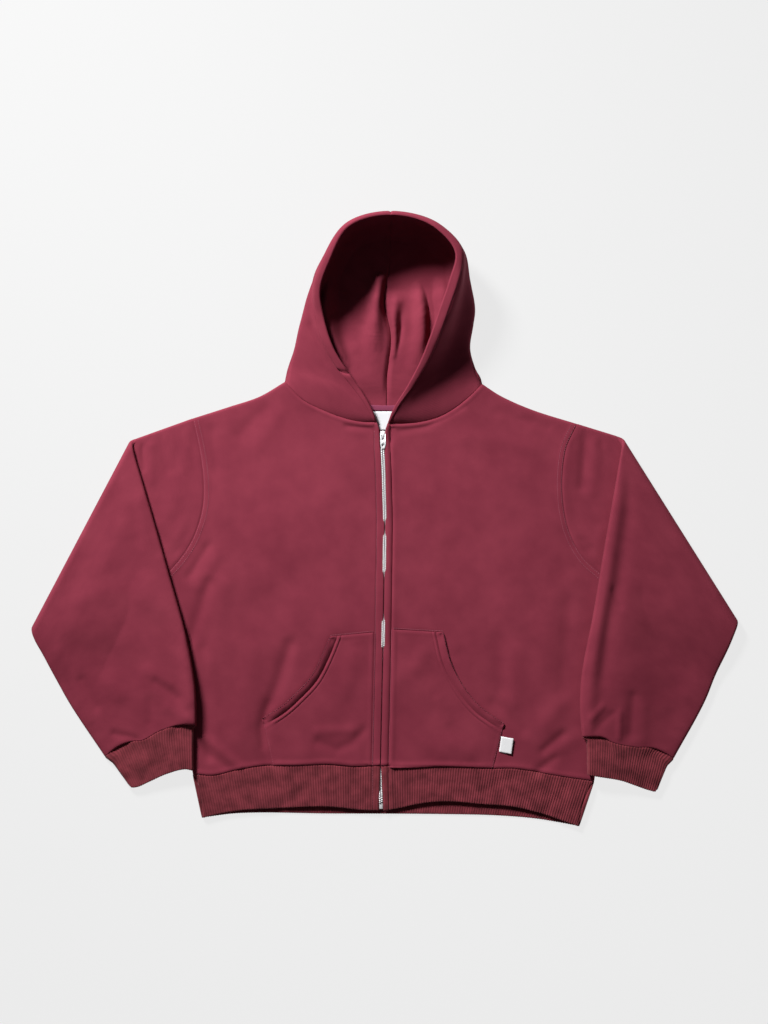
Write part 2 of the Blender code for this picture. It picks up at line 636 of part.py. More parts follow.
def make_hem(material):
    turned = len(ROLL_STEPS) - 1
    fronts = {}
    for side in ("left", "right"):
        plan = seam_line(side, "hem_seam")
        layer = [part.copy() for part in upper_layer(plan[None])]
        layer[0][0] = parted(layer[0][0], plan, -SEAM_GAP / 2)
        fronts[side] = hem_part((layer[0][0], layer[1][0]), plan, hem_edge_line(side), upper_layer, True)
    plan = back_hem_line()
    layer = [part.copy() for part in lower_layer(plan[None])]
    layer[0][0] = parted(layer[0][0], plan, -SEAM_GAP / 2)
    edge = [np.array(p, float) for p in BACK_HEM_EDGE]
    edge[0], edge[-1] = hem_edge_line("left")[0], hem_edge_line("right")[0]
    back = hem_part((layer[0][0], layer[1][0]), plan, edge, lower_layer, False)
    left, right = fronts["left"], fronts["right"]
    middle = np.hstack([left[0][:, ::-1], back[0][:, 1:-1], right[0]])
    normal = np.hstack([left[1][:, ::-1], back[1][:, 1:-1], right[1]])
    column = np.arange(middle.shape[1])
    on_left = column < left[0].shape[1] - turned
    on_right = column >= middle.shape[1] - right[0].shape[1] + turned
    relief = np.where(on_left | on_right, np.where(column % 2 == 0, RIB_CREST, -RIB_VALLEY), 0)
    outer = middle + normal * (CLOTH / 2 + relief)[None, :, None]
    kept = np.concatenate([left[2][::-1], back[2][1:-1], right[2]])
    plain = column[kept]
    inner = (middle - normal * CLOTH / 2)[:, plain]
    return wall("hem_band", outer, inner, material, columns=plain)


# The sleeves
def fold_frame(side):
    """The fold's axis as a point and a way along it, and the unit way out from the garment."""
    top, bottom = (np.array(p, float) for p in SLEEVES[side]["fold"])
    along = (bottom - top) / np.linalg.norm(bottom - top)
    out = np.array([along[1], -along[0]])
    if out @ top < 0:
        out = -out
    return top - out * FOLD_AXIS_HEIGHT, along, out


def unfolded(points, side):
    """Places on the folded stretch, in the plane before it was folded over."""
    origin, _, out = fold_frame(side)
    points = np.asarray(points, float)
    depth = (points - origin) @ out
    return points + (bend_length() - 2 * depth)[..., None] * out


def bend_length():
    return np.pi * (FOLD_AXIS_HEIGHT - SLAB_TOP / 2)


def folded(points, side):
    """Turns points past the fold line over and lays them on what is under them."""
    origin, along, out = fold_frame(side)
    depth = (points[..., :2] - origin) @ out
    lateral = (points[..., :2] - origin) @ along
    radius = FOLD_AXIS_HEIGHT - points[..., 2]
    angle = np.clip(depth / bend_length(), 0, 1) * np.pi
    past = np.maximum(depth - bend_length(), 0)
    across = np.where(depth < 0, depth, radius * np.sin(angle) - past)
    height = FOLD_AXIS_HEIGHT - radius * np.cos(angle)
    place = origin + across[..., None] * out + lateral[..., None] * along
    sink = (support(place, side) - SEAT_ON_SLEEVE) * smoothstep(past / 30)
    return np.dstack([place, height + sink])


def body_outline(side):
    lines = OUTLINE[side]
    parts = [smooth_line(lines[name], np.linspace(0, 1, 15)) for name in ("side", "armhole", "shoulder")]
    hem = smooth_line(lines["hem_side"], np.linspace(0, 1, 5))
    return np.vstack([[(0, -425)], hem[:-1], *parts, [(0, 160)]])


def sleeve_outline(side):
    """The first stretch of a sleeve as it lies on the surface, from the armhole to the fold."""
    armhole = smooth_line(OUTLINE[side]["armhole"], np.linspace(0, 1, 15))
    return np.vstack([armhole, SLEEVES[side]["fold"]])


def support(points, side):
    """Height of the underside of cloth that is draped over the body's side and the sleeve's first stretch."""
    on_body = SEAT_ON_BODY * (1 - smoothstep(distance_outside(points, body_outline(side)) / DRAPE))
    on_sleeve = SEAT_ON_SLEEVE * (1 - smoothstep(distance_outside(points, sleeve_outline(side)) / DRAPE))
    return np.maximum(on_body, on_sleeve)


def ring_shares(length):
    """A flattened tube's section, as places from edge to edge and back, with the height at each."""
    share = turned_fractions(length, ARMHOLE_FLAT)
    lift = np.sqrt(1 - np.clip(1 - np.minimum(share, 1 - share) * length / ROLL, 0, 1) ** 2)
    lean = np.clip(1 - np.minimum(share, 1 - share) * length / ROLL, 0, 1) * np.where(share < 0.5, -1, 1)
    return share, lift, lean


def sleeve_section(line, upper_height):
    """Mid points and normals round a flattened tube: along the line above, then back below."""
    share, lift, lean = ring_shares(float(np.linalg.norm(np.diff(line, axis=0), axis=1).sum()))
    along = np.gradient(line, axis=0)
    along /= np.linalg.norm(along, axis=1)[:, None]
    above = np.column_stack([line, TURN_LEVEL + (upper_height - TURN_LEVEL) * lift])
    below = np.column_stack([line, TURN_LEVEL - ROLL * lift])[1:-1][::-1]
    normal_above = np.column_stack([along * lean[:, None], lift])
    normal_below = np.column_stack([along * lean[:, None], -lift])[1:-1][::-1]
    return np.vstack([above, below]), np.vstack([normal_above, normal_below])


def seam_ring(line):
    """Mid points and normals round a seam of the body: along the upper layer, then back along the lower."""
    above, below = upper_layer(line[None]), lower_layer(line[None])
    middle = [parted(part[0][0], line, -SEAM_GAP / 2) for part in (above, below)]
    normal = [part[1][0] for part in (above, below)]
    return tuple(np.vstack([up, down[1:-1][::-1]]) for up, down in (middle, normal))


def line_at(a, b):
    """A straight section line with the places that a turned line of its length has."""
    share = turned_fractions(float(np.linalg.norm(b - a)), ARMHOLE_FLAT)
    return a + share[:, None] * (b - a)


def sleeve_sections(side):
    """Section lines of a sleeve in the plane before it was folded, from the armhole to the cuff seam, and
    the height of the upper layer on each."""
    data = SLEEVES[side]
    origin, along, out = fold_frame(side)
    armhole = seam_line(side, "armhole")[::-1]
    corners = []
    for corner in data["fold"]:
        lateral = (np.array(corner) - origin) @ along
        corners.append(origin + along * lateral)
    corners[0] = corners[0] - along * data["past_corners"][0]
    corners[1] = corners[1] + along * data["past_corners"][1]
    on_fold = line_at(corners[0], corners[1])
    lines = [armhole + (on_fold - armhole) * t for t in (0.0, 0.3, 0.62, 0.9, 1.0)]
    heights = [None, REST_LEVEL, REST_LEVEL, REST_LEVEL, EDGE_LEVEL - 0.2]
    end = across_cuff(side, "cuff_seam")
    inner = inset_edge([corners[0], *data["inner_edge"], data["cuff_seam"][0]], side)
    outer = inset_edge([corners[1], *data["outer_edge"], data["cuff_seam"][-1]], side)
    inner, outer = unfolded(inner, side), unfolded(outer, side)
    for t in (0.25, 0.5, 0.75, 1.0):
        shift = out * bend_length() * t
        lines.append(on_fold + shift)
        heights.append(EDGE_LEVEL)
    for t in (0.12, 0.26, 0.4, 0.55, 0.7, 0.85):
        a, b = smooth_line(inner, [t])[0], smooth_line(outer, [t])[0]
        bend = unfolded(end, side) - line_at(*unfolded(end[[0, -1]], side))
        lines.append(line_at(a, b) + bend * smoothstep((t - 0.3) / 0.7))
        heights.append(EDGE_LEVEL)
    lines.append(unfolded(end, side))
    heights.append(EDGE_LEVEL)
    return lines, heights


def inset_edge(points, side):
    """A sleeve edge moved in by half the cloth's thickness, towards the sleeve's own middle."""
    line = np.array(points, float)
    across = sideways(line)
    middle = np.mean([SLEEVES[side]["inner_edge"][2], SLEEVES[side]["outer_edge"][0]], axis=0)
    inward = np.sign(((middle - line) * across).sum(1))[:, None]
    inset = line + across * inward * CLOTH / 2
    inset[0] = line[0]
    return inset


def across_cuff(side, name):
    """The cuff's seam or its open edge, from the inner side to the outer, divided as the sleeve's rings are."""
    line = np.array(SLEEVES[side][name], float)
    along = (line[-1] - line[0]) / np.linalg.norm(line[-1] - line[0])
    line[0] += along * CLOTH / 2
    line[-1] -= along * CLOTH / 2
    return smooth_line(line, turned_fractions(length_of(line), ARMHOLE_FLAT))


def sleeve_faces(side):
    """The outer and inner faces of a sleeve, as rings from the armhole to the cuff's seam."""
    lines, heights = sleeve_sections(side)
    middles, normals = [], []
    for line, height in zip(lines, heights):
        if height is None:
            middle, normal = seam_ring(line)
        else:
            middle, normal = sleeve_section(line, height)
        middles.append(middle)
        normals.append(normal)
    middle, normal = np.array(middles), np.array(normals)
    normal /= np.linalg.norm(normal, axis=-1)[..., None]
    return folded(middle + normal * CLOTH / 2, side), folded(middle - normal * CLOTH / 2, side)


def make_sleeve(side, material):
    outer, inner = sleeve_faces(side)
    return wall(f"sleeve_{side}", outer, inner, material, ring=True)


def make_cuff(side, material):
    """A ribbed tube from the sleeve's end to the wrist, flattened, with its ribs raised on the upper face."""
    seam, wrist = across_cuff(side, "cuff_seam"), across_cuff(side, "cuff_edge")
    count, turned = len(seam), len(ROLL_STEPS) - 1
    places = np.concatenate([[0], np.cumsum(np.linalg.norm(np.diff(seam, axis=0), axis=1))])
    wanted = ribbed_places(places, turned, turned)
    share = wanted / places[-1]
    coarse = places / places[-1]
    upper = [0, *range(2 * count - 3, count - 1, -1), count - 1]
    lower = list(range(count - 2, 0, -1))
    first = []
    for face in sleeve_faces(side):
        ring = np.vstack([along_chords(face[-1][upper], places, wanted), face[-1][lower]])
        way = np.vstack([along_chords(wrist - seam, places, wanted), (wrist - seam)[lower]])
        first.append(ring + SEAM_GAP * np.hstack([way / np.linalg.norm(way, axis=1)[:, None],
                                                  np.zeros((len(way), 1))]))
    outer, inner = [first[0]], [first[1]]
    for t in (0.5, 1.0):
        parts = []
        for at, way in ((share, 1), (coarse[lower], -1)):
            from_seam = along_chords(seam, coarse, at)
            plan = from_seam + (along_chords(wrist, coarse, at) - from_seam) * t
            edge = np.clip(1 - np.minimum(at, 1 - at) * length_of(wrist) / ROLL, 0, 1)
            lift = np.sqrt(1 - edge**2) * way
            along = (wrist[-1] - wrist[0]) / np.linalg.norm(wrist[-1] - wrist[0])
            middle = np.column_stack([plan, support(plan, side) + TURN_LEVEL + ROLL * lift])
            normal = np.column_stack([along * (edge * np.where(at < 0.5, -1, 1))[:, None], lift])
            parts.append((middle, normal / np.linalg.norm(normal, axis=1)[:, None]))
        middle, normal = (np.vstack([part[k] for part in parts]) for k in (0, 1))
        outer.append(middle + normal * CLOTH / 2)
        inner.append(middle - normal * CLOTH / 2)
    outer, inner = np.array(outer), np.array(inner)
    relief = np.zeros(outer.shape[1])
    ribbed = np.arange(turned, len(wanted) - turned)
    relief[ribbed] = np.where((ribbed - turned) % 2 == 0, RIB_CREST, -RIB_VALLEY)
    outer = outer + (outer - inner) / CLOTH * relief[None, :, None]
    kept = np.concatenate([np.isin(wanted, places), np.ones(len(lower), bool)])
    plain = np.arange(outer.shape[1])[kept]
    return wall(f"cuff_{side}", outer, inner[:, plain], material, columns=plain, ring=True)


# The hood
def hood_section(row, places):
    """Mid points from the face edge at place 0, over the side at 1, the hood's outline at 2 and under it at
    3, and along the surface to the centre seam at 4."""
    at = dict(zip(HOOD_COLUMNS, row))
    rim = np.array([at["rim_x"], at["rim_y"], at["rim_z"]])
    edge = np.array([at["edge_x"], at["edge_y"], at["edge_z"]])
    seam = np.array([at["seam_x"], at["seam_y"], LOW_LEVEL])
    out = edge[:2] - seam[:2]
    out = np.append(out / np.linalg.norm(out), 0)
    edge = edge - out * CLOTH / 2
    side_point = (rim + edge) / 2 + (out * 0.6 + np.array([0, 0, 0.8])) * at["bulge"]
    under = edge + (seam - edge) * 0.16
    under[2] = LOW_LEVEL
    points = [rim, side_point, edge, under, seam]
    spans = [length_of(points[: k + 1]) if k else 0.0 for k in range(len(points))]
    return smooth_line(points, np.interp(places, range(len(points)), spans) / spans[-1])


def hood_neck_edge(side):
    """Mid points and normals of the hood's sewn edge: the front neckline, then the back one."""
    ahead, behind = seam_line(side, "neckline")[::-1], seam_line(side, "back_neck")
    above, below = upper_layer(ahead[None]), lower_layer(behind[None])
    first = parted(above[0][0], ahead, -SEAM_GAP / 2)
    second = parted(below[0][0], behind, -SEAM_GAP / 2)
    first[-1] += second[0] - below[0][0, 0]
    return np.vstack([first, second[1:]]), np.vstack([above[1][0], below[1][0, 1:]])


def hood_grid(side):
    neck = hood_neck_edge(side)[0]
    count = len(neck)
    half = count // 2
    places = np.concatenate([np.linspace(0, 2, half + 1), np.linspace(2, 3, 5)[1:],
                             np.linspace(3, 4, half - 3)[1:]])
    sections = [neck]
    for row in HOOD_ROWS[side]:
        sections.append(hood_section(row, places))
    sections = np.array(sections)
    stations = np.concatenate([[0], np.cumsum(np.linalg.norm(np.diff(sections[:, 0], axis=0), axis=1))])
    stations /= stations[-1]
    steps = []
    for a, b in zip(stations[:-1], stations[1:]):
        steps += list(np.linspace(a, b, 1 + math.ceil((b - a) / HOOD_STEP))[:-1])
    steps.append(1.0)
    grid = np.stack([smooth_line_at(sections[:, c], stations, steps) for c in range(count)], axis=1)
    grid[..., 2] = np.maximum(grid[..., 2], LOW_LEVEL)
    floor = smoothstep((LOW_LEVEL + 14 - grid[..., 2]) / 10)
    inner = np.zeros(grid.shape[:2])
    inner[:, half + 4:] = 1
    lift = ridges(grid[..., :2], HOOD_FOLD_ROWS) * floor * inner
    grid[..., 2] += lift
    return grid, half


def smooth_line_at(points, stations, steps):
    """Values of a smooth curve that passes through the points at those stations."""
    p, t = np.asarray(points, float), np.asarray(stations, float)
    slope = np.gradient(p, t, axis=0)
    made = []
    for s in steps:
        i = min(int(np.searchsorted(t, s, side="right")) - 1, len(t) - 2)
        width = t[i + 1] - t[i]
        x = (s - t[i]) / width
        made.append(
            (2 * x**3 - 3 * x**2 + 1) * p[i] + (x**3 - 2 * x**2 + x) * width * slope[i]
            + (3 * x**2 - 2 * x**3) * p[i + 1] + (x**3 - x**2) * width * slope[i + 1]
        )
    return np.array(made)


def make_hood(side, material):
    """One of the hood's two panels, which meet in a seam from the back of the neck over the crown."""
    grid, half = hood_grid(side)
    across = np.gradient(grid, axis=1)
    up = np.gradient(grid, axis=0)
    normal = np.cross(across, up) if side == "right" else np.cross(up, across)
    normal /= np.linalg.norm(normal, axis=-1)[..., None]
    normal[0] = hood_neck_edge(side)[1]
    flat = grid[..., 2] < LOW_LEVEL + 0.05
    flat[0] = False
    normal[flat] = (0, 0, -1)
    for seam in (normal[-1], normal[:, -1]):
        seam[:, 0] = 0
        seam /= np.linalg.norm(seam, axis=-1)[..., None]
    way = -1 if side == "left" else 1
    grid[-1, :, 0] += way * SEAM_GAP / 2
    grid[:-1, -1, 0] += way * SEAM_GAP / 2
    thick = np.full(grid.shape[:2], CLOTH / 2)
    thick[:, :2] += HEM_OVERLAP / 2 * smoothstep(np.arange(len(grid)) / 3)[:, None]
    outer = grid + normal * thick[..., None]
    inner = grid - normal * thick[..., None]
    return wall(f"hood_{side}", outer, inner, material)


# What lies on the panels, and the neck's tape and label
def height_over(points, grid):
    """Height of a grid's surface over places in the plane, the higher one where its quads can fold two ways."""
    flat = points.reshape(-1, 2)
    found = np.full(len(flat), -np.inf)
    for r in range(len(grid) - 1):
        for c in range(grid.shape[1] - 1):
            quad = [grid[r, c], grid[r, c + 1], grid[r + 1, c + 1], grid[r + 1, c]]
            for i in range(4):
                a, b, d = quad[i], quad[(i + 1) % 4], quad[(i + 2) % 4]
                frame = np.array([b[:2] - a[:2], d[:2] - a[:2]]).T
                if abs(np.linalg.det(frame)) < 1e-6:
                    continue
                share = np.linalg.solve(frame, (flat - a[:2]).T)
                held = (share > -0.01).all(0) & (share.sum(0) < 1.01)
                level = a[2] + share[0] * (b[2] - a[2]) + share[1] * (d[2] - a[2])
                found = np.where(held, np.maximum(found, level), found)
    return found.reshape(points.shape[:-1])


def cover(points, side, reach):
    """The highest that a front's upper face comes within that reach of each place."""
    middle, normal = front_layer(side)
    face = middle + normal * CLOTH / 2
    steps = [(dx, dy) for dx in (-reach, 0, reach) for dy in (-reach, 0, reach)]
    return np.max([height_over(points + step, face) for step in steps], axis=0)


def make_pocket(side, material):
    data = POCKETS[side]
    opening = smooth_line(data["opening"], np.linspace(0, 1, 9))
    side_edge = smooth_line(data["side"], np.linspace(0, 1, 4))
    outer = np.vstack([side_edge, opening[1:]])
    top = smooth_line(data["top"], np.linspace(0, 1, 8))
    low_y = outer[0][1]
    steps = len(outer) - 1
    inner = zip_edge(side, low_y + 0.6, data["top"][-1][1], steps)
    inner[:, 0] = zip_at(inner[:, 1])[0] + (TOPSTITCH + 2) * (1 if side == "right" else -1)
    top[-1] = inner[-1]
    bottom = np.linspace(outer[0], inner[0], 8)
    seam = smooth_line(OUTLINE[side]["hem_seam"], np.linspace(0, 1, 60))
    order = np.argsort(seam[:, 0])
    bottom[:, 1] = np.interp(bottom[:, 0], seam[order, 0], seam[order, 1]) + 1.0
    outer[0], inner[0] = bottom[0], bottom[-1]
    grid = patch(bottom, top, outer, inner)
    far = nearest_on(grid, opening)[0]
    ends = np.minimum(np.linalg.norm(grid - opening[0], axis=-1), np.linalg.norm(grid - opening[-1], axis=-1))
    gape = POCKET_GAPE * np.exp(-((far / 16) ** 2)) * smoothstep(ends / 40)
    top = np.dstack([grid, cover(grid, side, 7) + SEAM_GAP + CLOTH + gape + 0.15])
    return wall(f"pocket_{side}", top, top - (0, 0, CLOTH), material)


def strip(name, lines, low, thick, material):
    """A thin flat strip between two lines of points in the plane. low gives the underside's height."""
    plan = np.stack(lines, axis=1)
    base = np.dstack([plan, low(plan)])
    top = base + (0, 0, thick)
    return wall(name, top, base, material)


def make_neck_tape(material):
    inset = NECK_TAPE["end_inset"] / length_of(BACK_NECKLINE)
    middle = smooth_line(BACK_NECKLINE, np.linspace(inset, 1 - inset, 17))
    across = sideways(middle) * NECK_TAPE["half_width"]
    level = CLOTH + 2 * SEAM_GAP
    lines = (middle - across, middle + across)
    return strip("neck_tape", lines, lambda p: np.full(p.shape[:-1], level), NECK_TAPE["thick"], material)


def make_neck_label(material):
    x, y = NECK_LABEL["centre"]
    half = NECK_LABEL["width"] / 2
    tall = NECK_LABEL["height"] / 2
    across = np.linspace(x - half, x + half, 5)
    low = np.column_stack([across, np.full(5, y - tall)])
    high = np.column_stack([across, np.full(5, y + tall)])
    level = CLOTH + SEAM_GAP
    return strip("neck_label", (low, high), lambda p: np.full(p.shape[:-1], level), NECK_LABEL["thick"], material)


def make_pocket_label(material):
    corner, along, out = (np.array(POCKET_LABEL[k], float) for k in ("corner", "along", "out"))
    shares = np.linspace(0, 1, 5)[:, None]
    near = corner + along * shares
    far = near + out
    return strip("pocket_label", (near, far), lambda p: cover(p, "right", 4) + SEAM_GAP,
                 POCKET_LABEL["thick"], material)


# The zip
def make_zip_tape(side, material):
    way = 1 if side == "right" else -1
    y = np.concatenate([[ZIP_TAPE["bottom_y"]], chain_rows(), [SLIDER["top_y"], ZIP_TAPE["top_y"]]])
    centre, half = zip_at(y)
    near = np.where(y > 100, SLIDER["half_width"] + 0.5, CHAIN["half_width"] + SEAM_GAP)
    inner = np.column_stack([centre + way * near, y])
    outer = np.column_stack([centre + way * (near + ZIP_TAPE["width"]), y])
    gap = CLOTH / 2 + 2 * SEAM_GAP + ZIP_TAPE["thick"]

    def low(points):
        return upper_level(points) - gap

    return strip(f"zip_tape_{side}", (inner, outer), low, ZIP_TAPE["thick"], material)


def chain_rows():
    return np.linspace(CHAIN["bottom_y"], CHAIN["top_y"], 22)


def make_chain(material):
    """The closed rows of teeth, as one plain bar of their width and depth."""
    y = chain_rows()
    centre = zip_at(y)[0]
    left = np.column_stack([centre - CHAIN["half_width"], y])
    right = np.column_stack([centre + CHAIN["half_width"], y])
    low = CHAIN["low"]
    depth = CHAIN["high"] - low
    return strip("zip_chain", (left, right), lambda p: np.full(p.shape[:-1], low), depth, material)


def prism(name, outline, low, high, material, bevel=0.0):
    """An upright block with the given outline in the plane."""
    count = len(outline)
    points = [(x, y, low) for x, y in outline] + [(x, y, high) for x, y in outline]
    faces = [tuple(range(count)), tuple(range(count, 2 * count))[::-1]]
    faces += [(i, i + count, (i + 1) % count + count, (i + 1) % count) for i in range(count)]
    made = add_solid(name, points, faces, material)
    if bevel:
        soften(made, bevel)
    return made


def soften(made, width):
    rounding = made.modifiers.new("rounding", "BEVEL")
    rounding.width = width * MM
    rounding.segments = 2
    rounding.limit_method = "ANGLE"


def make_stop_box(material):
    top, half = STOP_BOX["top_y"], STOP_BOX["half_width"]
    low_y = top - STOP_BOX["length"]
    centre = zip_at(low_y)[0]
    outline = [(centre - half, low_y), (centre + half, low_y), (centre + half, top), (centre - half, top)]
    return prism("zip_stop_box", outline, STOP_BOX["low"], STOP_BOX["high"], material, bevel=0.6)


def make_slider(material):
    """The slider's body with the bridge that holds the pull, as one casting."""
    x = PULL_PIVOT[0]
    top, bottom, half, waist = (SLIDER[k] for k in ("top_y", "bottom_y", "half_width", "waist"))
    knee = bottom + (top - bottom) * 0.45
    outline = [(x - waist, bottom), (x + waist, bottom), (x + half, knee), (x + half, top - 1.5),
               (x + half - 1.5, top), (x - half + 1.5, top), (x - half, top - 1.5), (x - half, knee)]
    body = prism("zip_slider", outline, SLIDER["low"], SLIDER["high"], material)
    (near, far), wall_width, rise = BRIDGE["inner"], BRIDGE["wall"], BRIDGE["height"]
    base = SLIDER["high"]
    arch = [(near - wall_width, base - 1), (near - wall_width, base + rise), (near, base + rise + wall_width),
            (far, base + rise + wall_width), (far + wall_width, base + rise), (far + wall_width, base - 1),
            (far, base - 1), (far, base + rise - 0.1), (near, base + rise - 0.1), (near, base - 1)]
    half_bridge = BRIDGE["half_width"]
    count = len(arch)
    points = [(x - half_bridge, a, z) for a, z in arch] + [(x + half_bridge, a, z) for a, z in arch]
    faces = [(i, i + count, (i + 1) % count + count, (i + 1) % count) for i in range(count)]
    for cap in ((0, 1, 8, 9), (1, 2, 8), (2, 3, 7, 8), (3, 4, 7), (4, 5, 6, 7)):
        faces += [cap, tuple(i + count for i in cap[::-1])]
    bridge_piece = add_solid("bridge_shape", points, faces, material)
    bridge_piece.hide_render = True
    bridge_piece.display_type = "WIRE"
    join = body.modifiers.new("bridge", "BOOLEAN")
    join.operation = "UNION"
    join.object = bridge_piece
    return body


def make_pull(material):
    """The flat pull tab: a bar that turns under the bridge, a window round the bridge, and a holed tab."""
    half, tip = PULL["half_width"], PULL["tip_half_width"]
    shape = bpy.data.curves.new("zip_pull", "CURVE")
    shape.dimensions = "2D"
    shape.fill_mode = "BOTH"
    shape.extrude = PULL["thick"] / 2 * MM
    end = -PULL["length"]
    outline = [(-half, PULL["bar"]), (half, PULL["bar"]), (half, end * 0.72), (tip, end), (-tip, end),
               (-half, end * 0.72)]
    low, high = PULL["window"]
    window_half = PULL["window_half_width"]
    window = [(-window_half, low), (window_half, low), (window_half, high), (-window_half, high)]
    angles = np.linspace(0, 2 * np.pi, 13)[:-1]
    hole = [(PULL["hole_radius"] * np.cos(a), PULL["hole_at"] + PULL["hole_radius"] * np.sin(a)) for a in angles]
    for loop in (outline, window, hole):
        line = shape.splines.new("POLY")
        line.points.add(len(loop) - 1)
        for point, (x, y) in zip(line.points, loop):
            point.co = (x * MM, y * MM, 0, 1)
        line.use_cyclic_u = True
    made = bpy.data.objects.new("zip_pull", shape)
    made.location = (np.array(PULL_PIVOT) - MIDDLE) * MM
    shape.materials.append(material)
    bpy.context.scene.collection.objects.link(made)
    return made


def main():
    for old in list(bpy.data.objects):
        bpy.data.objects.remove(old)
    fleece = fabric("brushed_fleece", CLOTH_COLOUR)
    ribbing = fabric("rib_knit", RIB_COLOUR)
    label_weave = fabric("label_satin", LABEL_COLOUR, roughness=0.6)
    tape_weave = fabric("zip_tape", TAPE_COLOUR, roughness=0.8)
    nickel = fabric("nickel", METAL_COLOUR, roughness=0.25, metallic=1.0)

    make_back(fleece)
    for side in ("left", "right"):
        make_front(side, fleece)
        make_sleeve(side, fleece)
        make_cuff(side, ribbing)
        make_hood(side, fleece)
        make_pocket(side, fleece)
        make_zip_tape(side, tape_weave)
    make_hem(ribbing)
    make_neck_tape(fleece)
    make_neck_label(label_weave)
    make_pocket_label(label_weave)
    make_chain(nickel)
    make_stop_box(nickel)
    make_slider(nickel)
    make_pull(nickel)


main()
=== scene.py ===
import bmesh
import bpy
import numpy as np
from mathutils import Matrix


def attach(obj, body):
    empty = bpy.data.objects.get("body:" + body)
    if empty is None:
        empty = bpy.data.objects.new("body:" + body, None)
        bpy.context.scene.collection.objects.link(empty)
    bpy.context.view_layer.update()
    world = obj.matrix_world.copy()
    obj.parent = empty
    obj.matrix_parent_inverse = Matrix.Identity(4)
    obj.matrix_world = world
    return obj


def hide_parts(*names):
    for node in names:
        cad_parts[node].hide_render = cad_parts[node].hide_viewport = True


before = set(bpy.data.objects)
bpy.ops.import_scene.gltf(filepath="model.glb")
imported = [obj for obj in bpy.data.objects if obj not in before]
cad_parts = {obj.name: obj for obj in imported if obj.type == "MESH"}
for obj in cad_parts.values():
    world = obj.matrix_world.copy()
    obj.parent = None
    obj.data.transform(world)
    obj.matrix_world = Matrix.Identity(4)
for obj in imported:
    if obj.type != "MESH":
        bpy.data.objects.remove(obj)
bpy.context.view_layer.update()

# The table and the lamp. The garment lies face up on a pale table and is seen from three metres straight
# above. One broad soft lamp hangs at the upper left, and the pale table sends some of its light back.
# Lengths in every table below are millimetres: +X to the right, +Y towards the hood, +Z up.
MM = 0.001
TABLE_WIDE = 9.0  # metres
ROOM_LIGHT = 0.06
VIEW_FROM = (-1.2, 14.3, 3000.0)
VIEW_TALL = 1484.8  # how much of the table the picture takes in from bottom to top
SENSOR = 36.0
# In metres, watts and degrees
LAMP = {"way": (-0.75, 1.15, 0.9), "away": 2.7, "wide": 0.6, "watts": 30.2, "spread": 88}


def linear(code):
    """An sRGB hex colour as linear red, green, blue and alpha."""
    parts = [int(code[i : i + 2], 16) / 255 for i in (0, 2, 4)]
    return tuple(c / 12.92 if c <= 0.04045 else ((c + 0.055) / 1.055) ** 2.4 for c in parts) + (1.0,)


def feed(node, inputs):
    """Sets a node's inputs to values, or links them from sockets or from the first output of other nodes."""
    for name, value in inputs.items():
        if isinstance(value, bpy.types.Node):
            value = next(socket for socket in value.outputs if socket.enabled)
        if isinstance(value, bpy.types.NodeSocket):
            node.id_data.links.new(value, node.inputs[name])
        else:
            node.inputs[name].default_value = value


def add_node(tree, kind, inputs=None, **settings):
    """A node with its settings and its inputs."""
    made = tree.nodes.new(kind)
    for name, value in settings.items():
        setattr(made, name, value)
    feed(made, inputs or {})
    return made


def new_material(name, colour, roughness, **sockets):
    """A material with its node tree and its shader. Constants go straight to the shader's sockets."""
    material = bpy.data.materials.new(name)
    material.use_nodes = True
    shader = material.node_tree.nodes["Principled BSDF"]
    feed(shader, {"Base Color": linear(colour), "Roughness": roughness})
    feed(shader, {socket.replace("_", " "): value for socket, value in sockets.items()})
    return material, material.node_tree, shader


def in_scene(name, data):
    """A new object in the scene."""
    made = bpy.data.objects.new(name, data)
    scene.collection.objects.link(made)
    return made


scene = bpy.context.scene
scene.view_settings.view_transform = "Standard"
camera = in_scene("camera", bpy.data.cameras.new("camera"))
camera.location = np.array(VIEW_FROM) * MM
camera.data.sensor_fit = "VERTICAL"
camera.data.sensor_height = SENSOR
camera.data.lens = SENSOR * VIEW_FROM[2] / VIEW_TALL
scene.camera = camera

# Matt white card: it scatters evenly, and its faint glow stands for the light of the pale room around it
card, _, _ = new_material("matt_white_card", "4a4a4a", 1.0, Emission_Color=(1, 1, 1, 1),
                          Emission_Strength=0.785)
bpy.ops.mesh.primitive_plane_add(size=TABLE_WIDE)
table = bpy.context.object
table.name = "table"
table.data.materials.append(card)

scene.world = bpy.data.worlds.new("room")
scene.world.use_nodes = True
feed(scene.world.node_tree.nodes["Background"], {"Color": (1, 1, 1, 1), "Strength": ROOM_LIGHT})

lamp = in_scene("softbox", bpy.data.lights.new("softbox", "AREA"))
lamp.data.shape = "DISK"
lamp.data.size = LAMP["wide"]
lamp.data.energy = LAMP["watts"]
lamp.data.spread = np.radians(LAMP["spread"])
lamp.location = np.array(LAMP["way"]) / np.linalg.norm(LAMP["way"]) * LAMP["away"]
lamp.rotation_euler = lamp.location.to_track_quat("Z", "Y").to_euler()

